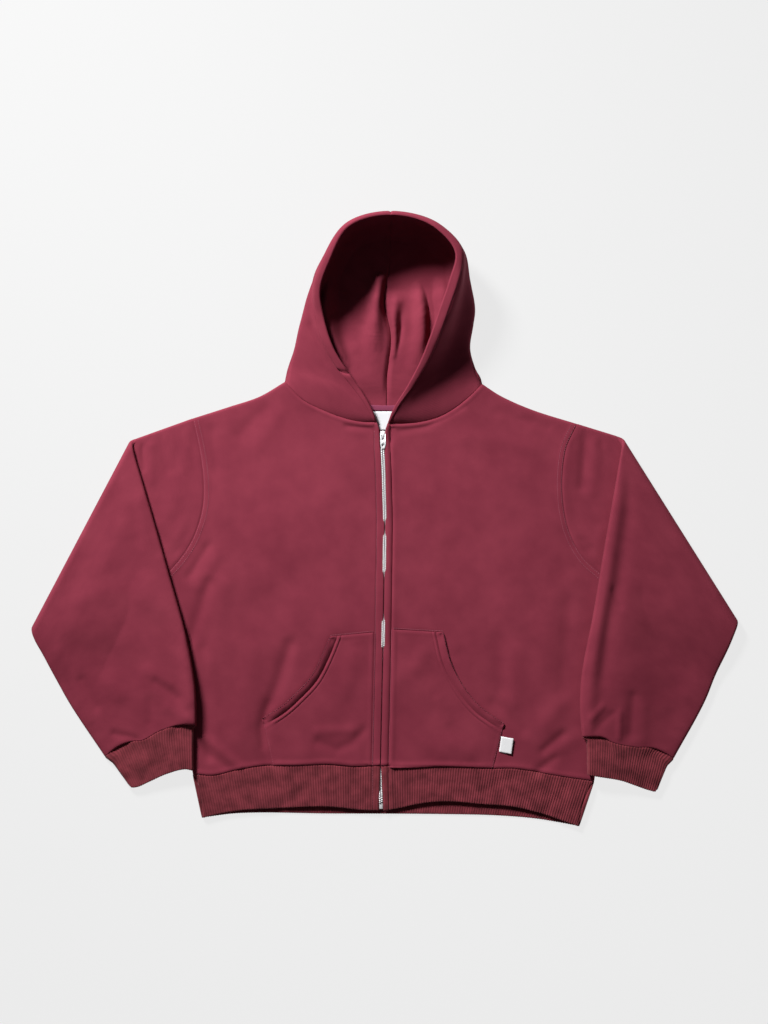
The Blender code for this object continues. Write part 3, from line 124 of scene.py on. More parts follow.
# The two fronts: heavy brushed fleece, each cut with a straight edge for the zip and sewn to the sleeve,
# the hood and the hem band. They rest on the back panel, and carry twin rows of stitches beside the
# armholes and one row beside the zip.
MIDDLE = np.array((0.5, -5.6, 0.0))  # the middle of the laid garment, which is placed at the origin
INNER = (0.0, -90.0)  # a place well inside the outline, by which the inner side of a line is told
WAY = {"left": -1, "right": 1}  # each side's way along x
CLOTH = 2.4  # thickness of the fleece
ROLL = 2.8  # radius of the turn at a side seam, at mid thickness
LOW_LEVEL = CLOTH / 2
TURN_LEVEL = LOW_LEVEL + ROLL
EDGE_LEVEL = TURN_LEVEL + ROLL
REST_LEVEL = 6.4  # mid height of the upper layer, away from the outline
SEAM_ROUND = 1.7  # from a seam to where the cloth is at its full thickness
SEAM_THIN = 0.22  # share of the thickness at the seam itself
EDGE_RISE = 30  # from the outline to where the cloth has come down to its rest level
EDGE_CALM = 26  # from the outline to where creases have their full height
OUTLINE = {
    "left": {
        "side": [(-277.7, -370.8), (-280, -358), (-299, -285), (-322, -190), (-340, -107)],
        "armhole": [(-340, -107), (-312.5, -78.3), (-296.5, -60.2), (-282, -39.2), (-271.9, -17.4),
                    (-263, 15), (-261.6, 50), (-266, 90), (-277.7, 144.3)],
        "shoulder": [(-277.7, 144.3), (-224, 161.5), (-181, 176), (-144, 197.5)],
        "neckline": [(-144, 197.5), (-118.2, 171.1), (-93.5, 158), (-55.8, 143.6), (-31.2, 138.8),
                     (-10.9, 138.5)],
        "hem_seam": [(-277.7, -370.8), (-248.7, -372.6), (-215.3, -365.4), (-177.6, -359),
                     (-126.9, -358.6), (-82.2, -357.4), (-37.8, -360.4), (-6.7, -358)],
        "hem_edge": [(-264.2, -434), (-237.7, -427.5), (-208.8, -423), (-148.9, -419.6),
                     (-82.2, -417.5), (-30, -422.5), (-8.3, -423)],
        "hem_side": [(-264.2, -434), (-265.4, -414), (-268.7, -391), (-277.7, -370.8)],
    },
    "right": {
        "side": [(304, -380.8), (306, -366), (318, -285), (331, -200), (343, -107)],
        "armhole": [(343, -107), (313.5, -81.2), (289.1, -58.9), (270.7, -28.3), (260.5, 8),
                    (257.4, 59.5), (264, 104), (279.1, 136.3)],
        "shoulder": [(279.1, 136.3), (211, 158), (167.5, 177.5), (141.4, 194.3)],
        "neckline": [(141.4, 194.3), (113.8, 167.8), (84.1, 148.5), (56.7, 139.6), (30, 136.5),
                     (4.6, 136.8)],
        "hem_seam": [(304, -380.8), (253, -373.6), (186.3, -362.6), (153, -362.6), (75.4, -358.6),
                     (30, -359), (-4.7, -358.5)],
        "hem_edge": [(282, -446.5), (259.7, -438.5), (230.8, -428.5), (186.3, -417.6), (142.1, -414.1),
                     (88.7, -410), (52.9, -413), (17.7, -420.5), (-1.7, -423.5)],
        "hem_side": [(282, -446.5), (287.4, -416.2), (294.6, -397), (304, -380.8)],
    },
}
# y, the zip's centre x, and half the gap between the two fronts
ZIP_ROWS = [(-424, -5.0, 3.2), (-412, -5.1, 2.6), (-402, -5.3, 1.1), (-393, -5.5, 0.4), (-382, -5.6, 0.4),
            (-371, -5.8, 0.6), (-365, -5.7, 0.5), (-360, -5.7, 0.45), (-264, -3.6, 0.45), (-196, -2.1, 0.45),
            (-188, -2.0, 0.6), (-180, -1.9, 1.5), (-171, -1.7, 1.0), (-158, -1.5, 1.3), (-146, -1.4, 0.7),
            (-138, -1.3, 0.45), (-92, -0.6, 0.45), (-84, -0.5, 0.6), (-75, -0.3, 0.9), (-66, -0.2, 1.9),
            (-56, 0.0, 2.3), (-40, 0.2, 1.5), (-30, 0.3, 1.1), (-16, 0.5, 0.4), (-5, 0.6, 0.7), (6, 0.5, 1.5),
            (20, 0.0, 2.3), (32, -0.4, 2.6), (50, -0.8, 2.1), (61, -1.0, 2.7), (96, -2.6, 2.9),
            (108, -2.8, 4.2), (124, -3.0, 4.0), (129, -2.8, 4.6), (138, -3.2, 7.8)]
# Soft creases: half width and height, where below 0 is a trough, and the points of a bent line
FRONT_CREASES = [
    (22, 1.6, [(-227, -189), (-191, -329)]), (16, 1.2, [(-238, -95), (-260, -153)]),
    (16, 1.0, [(-148, -346), (-58, -328)]), (26, 1.4, [(222, -174), (240, -299)]),
    (18, 1.0, [(62, -341), (122, -329)]), (16, 1.2, [(271, -95), (285, -149)]),
    (11, -1.2, [(-173, 160), (-210, 120)]), (13, 0.9, [(-153, 149), (-188, 99)]),
    (8, -0.9, [(-249, 128), (-244, 70)]), (7, -1.6, [(-256, -41), (-281, -83)]),
    (9, 1.2, [(-245, -58), (-268, -99)]), (8, -2.2, [(-255, -94), (-281, -178)]),
    (14, 1.4, [(-229, -98), (-252, -207)]),
    (9.5, -3.2, [(-137, -183), (-155, -243), (-172, -283), (-178, -306), (-175, -331), (-166, -355)]),
    (5, -1.2, [(-168, -268), (-178, -300), (-176, -330)]),
    (16, 1.6, [(-188, -192), (-208, -316)]), (16, 1.0, [(-127, -120), (-136, -178)]),
    (5, 2.2, [(-260, -317), (-209, -359)]), (6, -1.8, [(-269, -332), (-222, -366)]),
    (16, 1.4, [(-79, -148), (-73, -157)]), (26, 1.2, [(-145, 10), (-164, -19)]),
    (28, 1.0, [(-57, 62), (-81, 18)]), (26, -1.0, [(-112, -75), (-184, -133)]),
    (20, -0.7, [(-31, 26), (-29, -61)]), (20, -0.8, [(-201, 69), (-212, -4)]),
    (12, -0.8, [(-47, -118), (-38, -154)]), (5.5, -1.4, [(111, 160), (60, 132), (21, 125)]),
    (4.5, -1.6, [(-54, 133), (-17, 129)]), (8, -1.4, [(204, 145), (236, 133)]),
    (9, -0.9, [(166, 156), (210, 141)]), (14, 1.0, [(123, 118), (224, 100)]),
    (16, 1.3, [(179, -125), (192, -150)]), (14, 1.4, [(192, -192), (185, -265)]),
    (11, -1.2, [(162, -177), (170, -249)]), (9, -1.2, [(111, -197), (167, -273)]),
    (8, -1.8, [(158, -268), (200, -307)]), (6.5, -2.4, [(258, -313), (230, -337)]),
    (11, 1.2, [(278, -318), (244, -342)]), (6.5, -2.3, [(246, -347), (222, -366)]),
    (12, 1.4, [(255, -269), (231, -298)]), (10, -1.0, [(266, -119), (258, -249)]),
    (18, 0.8, [(244, -61), (240, -206)]), (26, 0.9, [(53, 27), (82, -31)]),
    (26, -0.8, [(120, -38), (163, -67)]), (16, -0.7, [(39, -60), (45, -118)]),
    (18, -0.6, [(81, 69), (74, 25)]), (14, 0.8, [(260, 113), (255, -3)]),
    (8, -2.0, [(-264, -190), (-256, -290), (-254, -345)]), (8, -1.3, [(144, -393), (202, -370)]),
    (8, -1.3, [(-152, -421), (-113, -388)]), (9, 0.9, [(96, -376), (128, -404)]),
    (9, 0.8, [(-196, -380), (-174, -414)]), (7, -0.9, [(232, -425), (262, -392)]),
    (4, -2.0, [(12, 129), (10.5, 112)]),
]
# The patch pockets' lines: they lie on the fronts and press them down a little
POCKETS = {
    "left": {
        "lip": 1.2,
        "top": [(-79, -171.5), (-17.2, -165.3)],
        "opening": [(-177.6, -290.7), (-148.9, -272), (-126.9, -252), (-106.6, -229.8), (-91.2, -201),
                    (-79, -171.5)],
        "side": [(-162.1, -358.2), (-171.1, -318), (-177.6, -290.7)],
    },
    "right": {
        "lip": 0.5,
        "top": [(84.8, -165.3), (11.8, -161)],
        "opening": [(173.3, -297.3), (155.3, -285.4), (137.6, -272), (115.3, -245.1), (95.4, -207.4),
                    (84.8, -165.3)],
        "side": [(157.3, -361.8), (164.3, -334), (173.3, -297.3)],
    },
}
POCKET_SINK = 1.9
# Faint rolling of the laid cloth: how fast it runs along x and y, its phase and its height
WAVES = [(0.045, 0.020, 0.3, 0.22), (-0.018, 0.052, 1.9, 0.20), (0.071, -0.038, 4.0, 0.13),
         (0.030, 0.083, 2.2, 0.12), (-0.094, 0.041, 5.1, 0.07), (0.115, 0.102, 0.9, 0.05)]
CURVE_STEPS = 16  # from one given point of a smooth curve to the next
TURNED = (0, 0.08, 0.3, 0.7, 1.3, 2.2, 3.4)  # places near an edge where the cloth turns or is sewn
ABOVE_HEM = (0, 0.3, 0.8, 1.5, 2.4, 3.6, 5, 7, 10)
BELOW_NECK = (0, 0.4, 1.2, 2.4)
BESIDE_ARMHOLE = (0, 0.08, 0.3, 0.7, 1.1, 1.6, 2.1, 2.8, 4.2, 5.6, 6.5, 7.0, 7.5, 8.1, 9.2, 11.5)
BESIDE_ZIP = (0, 0.1, 0.3, 0.7, 1.3, 2.4, 4.2, 6.5, 8.6, 10.0, 10.7, 11.2, 11.6, 12.0, 12.5, 13.4, 15, 17.5)
TOPSTITCH = 11.6  # from the zip's line to the row of stitches beside it
POCKET_FROM_ZIP = TOPSTITCH + 2
SEAM_FLAT = 0.7  # share of the full thickness that an armhole seam keeps
TWIN_STITCHES = (1.7, 7.2)  # from an armhole seam to the two rows on the body
STITCH = {"Pitch": 3.4, "Length": 2.9, "Thread": 0.42}
STITCH_ABOVE = 0.15  # how far a stitch's middle stands over the cloth
ZIP_ROW = (-352, 128, 160)  # the stitches beside the zip: from this y to that one, and in how many points
# What sewing does to the cloth: soft swells and grooves, by distance from a seam, half width and height
SEWN = {
    "armhole": [(TWIN_STITCHES[0], 0.55, -0.25), (TWIN_STITCHES[1], 0.55, -0.25)],
    "neckline": [(3.4, 2.2, 0.6), (0, 1.4, -1.0)],
    "hem_seam": [(3.6, 3.2, 0.9), (0, 1.3, -0.5)],
    "zip": [(6.3, 3.4, 0.45), (TOPSTITCH, 0.95, -1.0), (15.5, 3, 0.25)],
}
ZIP_DRAWN = {"left": 0.6, "right": 2.3}  # how strongly each front shows this along the zip
ZIP_SWELL, NECK_SWELL = (22, 0.4), (16, 1.4)  # half width and height of the rise along the zip and the neck
NECK_START = (110, 14)  # the y where the rise along the neck starts, and how far it takes
# The cloth folded under the twin rows: where it starts and ends, from the armhole, and how far each takes
ALLOWANCE = {"start": (0.8, 1.2), "end": (7.4, 2.2), "high": 0.4}
SEWN_CALM = 7  # from the outline to where sewing shows in full
FRONT_STEPS = {"side": 62, "armhole": 66, "neck": 40, "across": 64}


def curve(points, steps=CURVE_STEPS):
    """The smooth curve through a few points, as a dense line."""
    p = np.array(points, float)
    ends = np.vstack([2 * p[:1] - p[1:2], p, 2 * p[-1:] - p[-2:-1]])
    t = np.linspace(0, 1, steps + 1)[:, None]
    dense = []
    for a, b, c, d in zip(ends[:-3], ends[1:-2], ends[2:-1], ends[3:]):
        reach = np.linalg.norm(c - b)
        ahead = (c - b) / reach
        start = reach * ((b - a) / max(np.linalg.norm(b - a), 1e-9) + ahead) / 2
        end = reach * (ahead + (d - c) / max(np.linalg.norm(d - c), 1e-9)) / 2
        dense.append((2 * t**3 - 3 * t**2 + 1) * b + (t**3 - 2 * t**2 + t) * start
                     + (3 * t**2 - 2 * t**3) * c + (t**3 - t**2) * end)
    return np.vstack([dense[0]] + [one[1:] for one in dense[1:]])


def lengths(line):
    """How far along a line each of its points lies."""
    return np.concatenate([[0], np.cumsum(np.linalg.norm(np.diff(line, axis=0), axis=1))])


def along(line, share):
    """Points on a dense line at shares of its length."""
    far = lengths(line)
    at = np.asarray(share, float) * far[-1]
    return np.stack([np.interp(at, far, line[:, k]) for k in range(line.shape[1])], axis=-1)


def places(length, steps, start=TURNED, end=TURNED):
    """Shares along a line of that length: at the given places near its ends, and even between them."""
    between = np.linspace(start[-1], length - end[-1], steps + 1)
    return np.concatenate([start[:-1], between, length - np.array(end[:-1])[::-1]]) / length


def spaced(line, steps, start=TURNED, end=TURNED):
    """Points along a dense line: at the given places near its ends, and even between them."""
    return along(line, places(lengths(line)[-1], steps, start, end))


def nearest_on(points, line):
    """Distance in the plane from points to a line, and the line's own way out from the garment there."""
    x, y = points[..., 0], points[..., 1]
    best = np.full(x.shape, 1e18)
    out_x, out_y = np.zeros(x.shape), np.zeros(x.shape)
    for (ax, ay), (bx, by) in zip(line[:-1, :2], line[1:, :2]):
        rx, ry = bx - ax, by - ay
        if abs(rx) + abs(ry) < 1e-6:
            continue
        share = np.clip(((x - ax) * rx + (y - ay) * ry) / (rx * rx + ry * ry), 0, 1)
        square = (ax + share * rx - x) ** 2 + (ay + share * ry - y) ** 2
        sign = np.sign(-ry * (ax - INNER[0]) + rx * (ay - INNER[1])) / np.hypot(rx, ry)
        closer = square < best
        best = np.where(closer, square, best)
        out_x, out_y = np.where(closer, -ry * sign, out_x), np.where(closer, rx * sign, out_y)
    return np.sqrt(best), np.stack([out_x, out_y], axis=-1)


def smoothstep(value):
    """A smooth rise from 0 at 0 to 1 at 1, and level on both sides."""
    value = np.clip(value, 0, 1)
    return value * value * (3 - 2 * value)


def ramp(value, start, over):
    """The same rise from a start, over a distance."""
    return smoothstep((value - start) / over)


def bump(value, place, half_width):
    """A rounded swell of height 1 about a place."""
    return np.exp(-(((value - place) / half_width) ** 2))


def swells(far, rows):
    """Height of soft swells and grooves that follow a seam, by distance from it."""
    return sum(height * bump(far, place, half_width) for place, half_width, height in rows)


def creases(points, rows):
    """Height of soft creases, each a rounded ridge or trough along a bent line, and of faint waves."""
    x, y = points[..., 0], points[..., 1]
    total = sum(height * np.sin(kx * x + ky * y + phase) for kx, ky, phase, height in WAVES)
    for half_width, height, line in rows:
        total = total + height * bump(nearest_on(points, np.array(line, float))[0], 0, half_width)
    return total


def folds(points, rows):
    """Height of soft folds that run along bent lines."""
    total = 0
    for row in rows:
        row = np.array(row, float)
        dense = curve(row[:, :2], 8)
        shares = np.linspace(0, len(row) - 1, len(dense))
        wide, high = (np.interp(shares, range(len(row)), row[:, k]) for k in (2, 3))
        far = np.hypot(points[..., 0, None] - dense[:, 0], points[..., 1, None] - dense[:, 1])
        near = far.argmin(-1)
        total = total + high[near] * np.exp(-((far.min(-1) / wide[near]) ** 2))
    return total


def zip_at(y):
    """The x of the zip's middle at each y, and half the gap between the fronts there."""
    rows = np.array(ZIP_ROWS)
    return np.interp(y, rows[:, 0], rows[:, 1]), np.interp(y, rows[:, 0], rows[:, 2])


def beside_zip(side, y, away=None):
    """A line that far from the zip's middle, or else along the edge of the front."""
    centre, half = zip_at(y)
    return np.column_stack([centre + WAY[side] * (half if away is None else away), y])


def moved_in(line, distance):
    """A line of the outline, moved towards the garment's middle."""
    return line - nearest_on(line, line)[1] * distance


# The outline at mid thickness, where the upper and the lower layer meet as they turn
TURNS = {side: {name: moved_in(curve(OUTLINE[side][name]), CLOTH / 2)
                for name in ("side", "shoulder", "hem_side")} for side in WAY}


def seam(side, name):
    """A seam's dense line, from the garment's outline inwards."""
    line = [np.array(p, float) for p in OUTLINE[side][name]]
    turned, end = {"armhole": ("side", -1), "neckline": ("shoulder", -1),
                   "hem_seam": ("side", 0), "hem_edge": ("hem_side", 0)}[name]
    line[0] = TURNS[side][turned][end]
    if name == "armhole":
        line[-1] = TURNS[side]["shoulder"][0]
    elif name != "neckline":
        line[-1] = beside_zip(side, line[-1][1:])[0]
    return curve(line)


def within(points, ring):
    """Which points lie inside a closed line."""
    x, y = points[..., 0], points[..., 1]
    held = np.zeros(x.shape, bool)
    for (ax, ay), (bx, by) in zip(ring, np.roll(ring, -1, axis=0)):
        held ^= ((ay > y) != (by > y)) & (x < (bx - ax) * (y - ay) / (by - ay + 1e-12) + ax)
    return held


def pocket_depth(points, side):
    """How far inside a pocket's sewn edges each point lies, 0 outside them."""
    data = POCKETS[side]
    outer_end = abs(data["side"][0][0])
    hem = [p for p in OUTLINE[side]["hem_seam"][::-1] if POCKET_FROM_ZIP < abs(p[0]) < outer_end]
    inner = beside_zip(side, np.array([data["top"][-1][1], hem[0][1]]), POCKET_FROM_ZIP)
    ring = np.vstack([data["side"], data["opening"][1:], inner, hem])
    return nearest_on(points, np.vstack([ring, ring[:1]]))[0] * within(points, ring)


def from_outline(points):
    """Distance in the plane from the outline at mid thickness."""
    return np.min([nearest_on(points, line)[0] for part in TURNS.values() for line in part.values()], axis=0)


def upper_level(points, sewn=True):
    """Mid height of the upper layer before it turns down at the outline, with or without its seams."""
    edge = from_outline(points)
    level = REST_LEVEL + (EDGE_LEVEL - REST_LEVEL) * bump(edge, 0, EDGE_RISE)
    level = level + smoothstep(edge / EDGE_CALM) * creases(points, FRONT_CREASES)
    level = level - POCKET_SINK * sum(smoothstep(pocket_depth(points, side) / 5) for side in WAY)
    across = points[..., 0] - zip_at(points[..., 1])[0]
    drawn = np.where(across > 0, ZIP_DRAWN["right"], ZIP_DRAWN["left"])
    level = level + ZIP_SWELL[1] * bump(across, 0, ZIP_SWELL[0]) + drawn * swells(np.abs(across), SEWN["zip"])
    if not sewn:
        return level
    for side in WAY:
        arm, neck, hem = (nearest_on(points, seam(side, name))[0]
                          for name in ("armhole", "neckline", "hem_seam"))
        band = ALLOWANCE["high"] * ramp(arm, *ALLOWANCE["start"]) * (1 - ramp(arm, *ALLOWANCE["end"]))
        pulled = swells(arm, SEWN["armhole"]) + swells(neck, SEWN["neckline"]) + swells(hem, SEWN["hem_seam"])
        level = level + smoothstep(edge / SEWN_CALM) * (band + pulled)
        level = level + NECK_SWELL[1] * bump(neck, 0, NECK_SWELL[0]) * ramp(points[..., 1], *NECK_START)
    return level


def turn(points):
    """How far the cloth has turned over at the outline: 0 where it lies flat, 1 where it stands upright."""
    return np.clip(1 - from_outline(points) / ROLL, 0, 1)


def upper_layer(points, sewn=True):
    """Points in the plane, laid at the mid thickness of the upper layer."""
    drop = ROLL * (1 - np.sqrt(1 - turn(points) ** 2))
    return np.concatenate([points, (upper_level(points, sewn) - drop)[..., None]], axis=-1)


def patch(bottom, top, left, right, columns_at):
    """A grid that fills four lines meeting at their ends. bottom and top run from left to right, and left
    and right from bottom to top. columns_at gives the columns' shares for a row of a given width."""
    rise = ((lengths(left) / lengths(left)[-1] + lengths(right) / lengths(right)[-1]) / 2)[:, None]
    u = np.array([columns_at(width) for width in np.linalg.norm(right - left, axis=1)])
    low, high = along(bottom, u), along(top, u)
    u, v = u[..., None], rise[..., None]
    edges = (1 - v) * low + v * high + (1 - u) * left[:, None] + u * right[:, None]
    corners = ((1 - u) * (1 - v) * bottom[0] + u * (1 - v) * bottom[-1]
               + (1 - u) * v * top[0] + u * v * top[-1])
    return edges - corners


def grid_normals(middle, ring=False):
    """Unit normals of a grid of points."""
    if ring:
        wide = np.concatenate([middle[:, -1:], middle, middle[:, :1]], axis=1)
        across = wide[:, 2:] - wide[:, :-2]
    else:
        across = np.gradient(middle, axis=1)
    normal = np.cross(across, np.gradient(middle, axis=0))
    return normal / np.maximum(np.linalg.norm(normal, axis=-1), 1e-12)[..., None]


def distances(middle, axis):
    """Distance along the cloth from the first row (axis 0) or column (axis 1) of a grid to each point."""
    steps = np.linalg.norm(np.diff(middle, axis=axis), axis=-1)
    return np.insert(np.cumsum(steps, axis=axis), 0, 0, axis=axis)


def from_edge(middle, ring=False):
    """Distance along the cloth from each point of a grid to the nearest cut edge."""
    down = distances(middle, 0)
    far = np.minimum(down, down[-1] - down)
    if not ring:
        over = distances(middle, 1)
        far = np.minimum(far, np.minimum(over, over[:, -1:] - over))
    return far


def rounded(far, reach=SEAM_ROUND, least=SEAM_THIN):
    """Share of the full thickness at a distance from a sewn or turned edge."""
    return least + (1 - least) * np.sqrt(1 - (1 - np.clip(far / reach, 0, 1)) ** 2)


def add_mesh(name, points, faces, material, spread):
    """A piece from points in millimetres and quads, with its faces pointing out. spread gives each
    corner's place on the flat cloth."""
    mesh = bpy.data.meshes.new(name)
    placed = (points - MIDDLE) * MM
    a, b, c, d = np.moveaxis(placed[faces], 1, 0)
    if np.einsum("ij,ij->", a, np.cross(b, c) + np.cross(c, d)) < 0:
        faces, spread = faces[:, ::-1], spread[:, ::-1]
    mesh.from_pydata(placed.tolist(), [], faces.tolist())
    mesh.uv_layers.new(name="cloth").data.foreach_set("uv", spread.reshape(-1).astype(np.float32))
    mesh.shade_smooth()
    mesh.materials.append(material)
    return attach(in_scene(name, mesh), "garment")


def sheet_of(name, middle, material, half=None, ring=False, flat=None):
    """A wall of cloth about a grid of points at mid thickness, rounded at its edges."""
    if half is None:
        half = CLOTH / 2 * rounded(from_edge(middle, ring))
    offset = grid_normals(middle, ring) * half[..., None]
    flat = middle[..., :2] if flat is None else flat
    count = middle.shape[0] * middle.shape[1]
    number = np.arange(count).reshape(middle.shape[:2])
    if ring:
        number = np.hstack([number, number[:, :1]])
        step = np.linalg.norm(flat[:, -1:] - flat[:, -2:-1], axis=-1, keepdims=True) * (1, 0)
        flat = np.hstack([flat, flat[:, -1:] + step])
    a, b, c, d = number[:-1, :-1], number[:-1, 1:], number[1:, 1:], number[1:, :-1]
    fa, fb, fc, fd = flat[:-1, :-1], flat[:-1, 1:], flat[1:, 1:], flat[1:, :-1]
    faces = [np.stack([a, b, c, d], -1), np.stack([d, c, b, a], -1) + count]
    spread = [np.stack([fa, fb, fc, fd], 2), np.stack([fd, fc, fb, fa], 2)]
    rims = [(b[0], a[0], fb[0], fa[0]), (d[-1], c[-1], fd[-1], fc[-1])]
    if not ring:
        rims += [(a[:, 0], d[:, 0], fa[:, 0], fd[:, 0]), (c[:, -1], b[:, -1], fc[:, -1], fb[:, -1])]
    for first, second, at_first, at_second in rims:
        faces.append(np.stack([first, second, second + count, first + count], -1))
        spread.append(np.stack([at_first, at_second, at_second, at_first], 1))
    faces = np.concatenate([f.reshape(-1, 4) for f in faces])
    spread = np.concatenate([s.reshape(-1, 4, 2) for s in spread])
    points = np.concatenate([(middle + offset).reshape(-1, 3), (middle - offset).reshape(-1, 3)])
    return add_mesh(name, points, faces, material, spread)


# Heavy cotton fleece, brushed on the inside: a matt face of fine knitted columns, slightly fuzzy, with a
# faint sheen at grazing angles and the soft unevenness of a garment dye. The columns are drawn 1.5 mm
# apart, wider than the real 1 mm, so that they show.
WAVE_BAND = 0.314  # how far apart the bands of a wave texture are at scale 1
KNIT = {"column": 1.5, "depth": 0.22}
fleece, tree, shader = new_material("brushed_cotton_fleece", "8d3647", 0.95, Sheen_Weight=0.1,
                                    Sheen_Roughness=0.45, Sheen_Tint=linear("c8707f"),
                                    Specular_IOR_Level=0.2)
place = add_node(tree, "ShaderNodeUVMap", uv_map="cloth")
knit = add_node(tree, "ShaderNodeTexWave", {"Vector": place, "Scale": WAVE_BAND / KNIT["column"],
                                            "Distortion": 0.8, "Detail": 2.0, "Detail Scale": 2.0})
fuzz = add_node(tree, "ShaderNodeTexNoise", {"Vector": place, "Scale": 0.9, "Detail": 3.0, "Roughness": 0.6})
mottle = add_node(tree, "ShaderNodeTexNoise", {"Vector": place, "Scale": 0.035, "Detail": 2.0})
patchy = add_node(tree, "ShaderNodeTexNoise", {"Vector": place, "Scale": 0.009, "Detail": 1.0})
weave = add_node(tree, "ShaderNodeMix", {"Factor": 0.62, "A": knit.outputs["Fac"], "B": fuzz})
cloud = add_node(tree, "ShaderNodeMix", {"Factor": 0.5, "A": mottle, "B": patchy})
tone = add_node(tree, "ShaderNodeMix", {"Factor": 0.55, "A": weave, "B": cloud})
tone = add_node(tree, "ShaderNodeMapRange", {"Value": tone, "From Min": 0.35, "From Max": 0.65})
surface_colour = add_node(tree, "ShaderNodeMix", {"Factor": tone, "A": linear("752738"), "B": linear("8d3647")},
               data_type="RGBA")
relief = add_node(tree, "ShaderNodeBump", {"Height": weave, "Strength": 0.5, "Distance": KNIT["depth"] * MM})
feed(shader, {"Base Color": surface_colour, "Normal": relief})

# Polyester sewing thread, dyed to match the cloth: smoother than the fleece, so each stitch catches light
thread, tree, shader = new_material("matching_thread", "96465a", 0.55, Sheen_Weight=0.2)
where = add_node(tree, "ShaderNodeTexCoord").outputs["Object"]
twist = add_node(tree, "ShaderNodeTexNoise", {"Vector": where, "Scale": 1500.0, "Detail": 1.0})
surface_colour = add_node(tree, "ShaderNodeMix", {"Factor": twist, "A": linear("883c4e"), "B": linear("a35064")},
               data_type="RGBA")
feed(shader, {"Base Color": surface_colour})


def node_group(name, inputs):
    """An empty geometry node tree with named inputs, and the sockets that give them."""
    tree = bpy.data.node_groups.new(name, "GeometryNodeTree")
    for label, kind in (("Geometry", "Geometry"), *inputs):
        tree.interface.new_socket(label, in_out="INPUT", socket_type=f"NodeSocket{kind}")
    tree.interface.new_socket("Geometry", in_out="OUTPUT", socket_type="NodeSocketGeometry")
    return tree, add_node(tree, "NodeGroupInput").outputs


def grow(made, tree, values):
    """Puts a node tree on a piece with its named inputs, and keeps what it makes as the piece's own mesh."""
    pattern = made.modifiers.new("pattern", "NODES")
    pattern.node_group = tree
    for item in tree.interface.items_tree:
        if item.in_out == "INPUT" and item.name in values:
            pattern[item.identifier] = values[item.name]
    bpy.context.view_layer.update()
    grown = bpy.data.meshes.new_from_object(made.evaluated_get(bpy.context.evaluated_depsgraph_get()))
    made.modifiers.clear()
    made.data = grown
    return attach(made, "garment")


def finish_tree(tree, geometry, material):
    """Makes what a tree has built real, smooth and of one material."""
    real = add_node(tree, "GeometryNodeRealizeInstances", {"Geometry": geometry})
    smooth = add_node(tree, "GeometryNodeSetShadeSmooth", {"Geometry": real})
    done = add_node(tree, "GeometryNodeSetMaterial", {"Geometry": smooth, "Material": material})
    add_node(tree, "NodeGroupOutput", {"Geometry": done})


# Small rounded stitches set end to end along lines of edges
stitches, given = node_group("stitches", [("Pitch", "Float"), ("Length", "Float"), ("Thread", "Float"),
                                          ("Material", "Material")])
row = add_node(stitches, "GeometryNodeMeshToCurve", {"Mesh": given["Geometry"]})
row = add_node(stitches, "GeometryNodeResampleCurve", {"Curve": row, "Length": given["Pitch"]}, mode="LENGTH")
bead = add_node(stitches, "GeometryNodeMeshUVSphere", {"Segments": 6, "Rings": 5, "Radius": 1.0})
way = add_node(stitches, "GeometryNodeInputTangent")
aim = add_node(stitches, "FunctionNodeAlignRotationToVector", {"Vector": way}, axis="X")
half = add_node(stitches, "ShaderNodeMath", {0: given["Length"], 1: 0.5}, operation="MULTIPLY")
size = add_node(stitches, "ShaderNodeCombineXYZ", {"X": half, "Y": given["Thread"], "Z": given["Thread"]})
sewn = add_node(stitches, "GeometryNodeInstanceOnPoints", {"Points": row, "Instance": bead, "Rotation": aim,
                                                           "Scale": size})
finish_tree(stitches, sewn, given["Material"])


def wires(name, lines):
    """Bare edges along lines of points in millimetres, for a node tree to dress."""
    starts = np.cumsum([0] + [len(line) for line in lines])
    edges = [(i, i + 1) for a, b in zip(starts[:-1], starts[1:]) for i in range(a, b - 1)]
    mesh = bpy.data.meshes.new(name)
    mesh.from_pydata(((np.concatenate(lines) - MIDDLE) * MM).tolist(), edges, [])
    return in_scene(name, mesh)


def sew(name, lines):
    """Rows of stitches along lines of points in millimetres."""
    sizes = {label: size * MM for label, size in STITCH.items()}
    return grow(wires(name, lines), stitches, {**sizes, "Material": thread})


def square_to(line):
    """Unit steps in the plane, square to a line at each of its points."""
    way = np.gradient(line, axis=0)
    return np.stack([-way[:, 1], way[:, 0]], axis=1) / np.linalg.norm(way, axis=1)[:, None]


def beside(line, distance, start=4.0, end=4.0, steps=90):
    """A line at a distance from a seam, on its inner side, leaving some of both ends free."""
    total = lengths(line)[-1]
    part = along(line, np.linspace(start / total, 1 - end / total, steps))
    across = square_to(part)
    inward = -nearest_on(part, line)[1]
    return part + across * np.sign((across * inward).sum(1)).mean().round() * distance


def on_front(plan, sewn=True):
    """A line in the plane, laid on the outer face of the fronts, or of the hem band if it is not sewn."""
    return upper_layer(plan[None], sewn)[0] + (0, 0, CLOTH / 2 + STITCH_ABOVE)


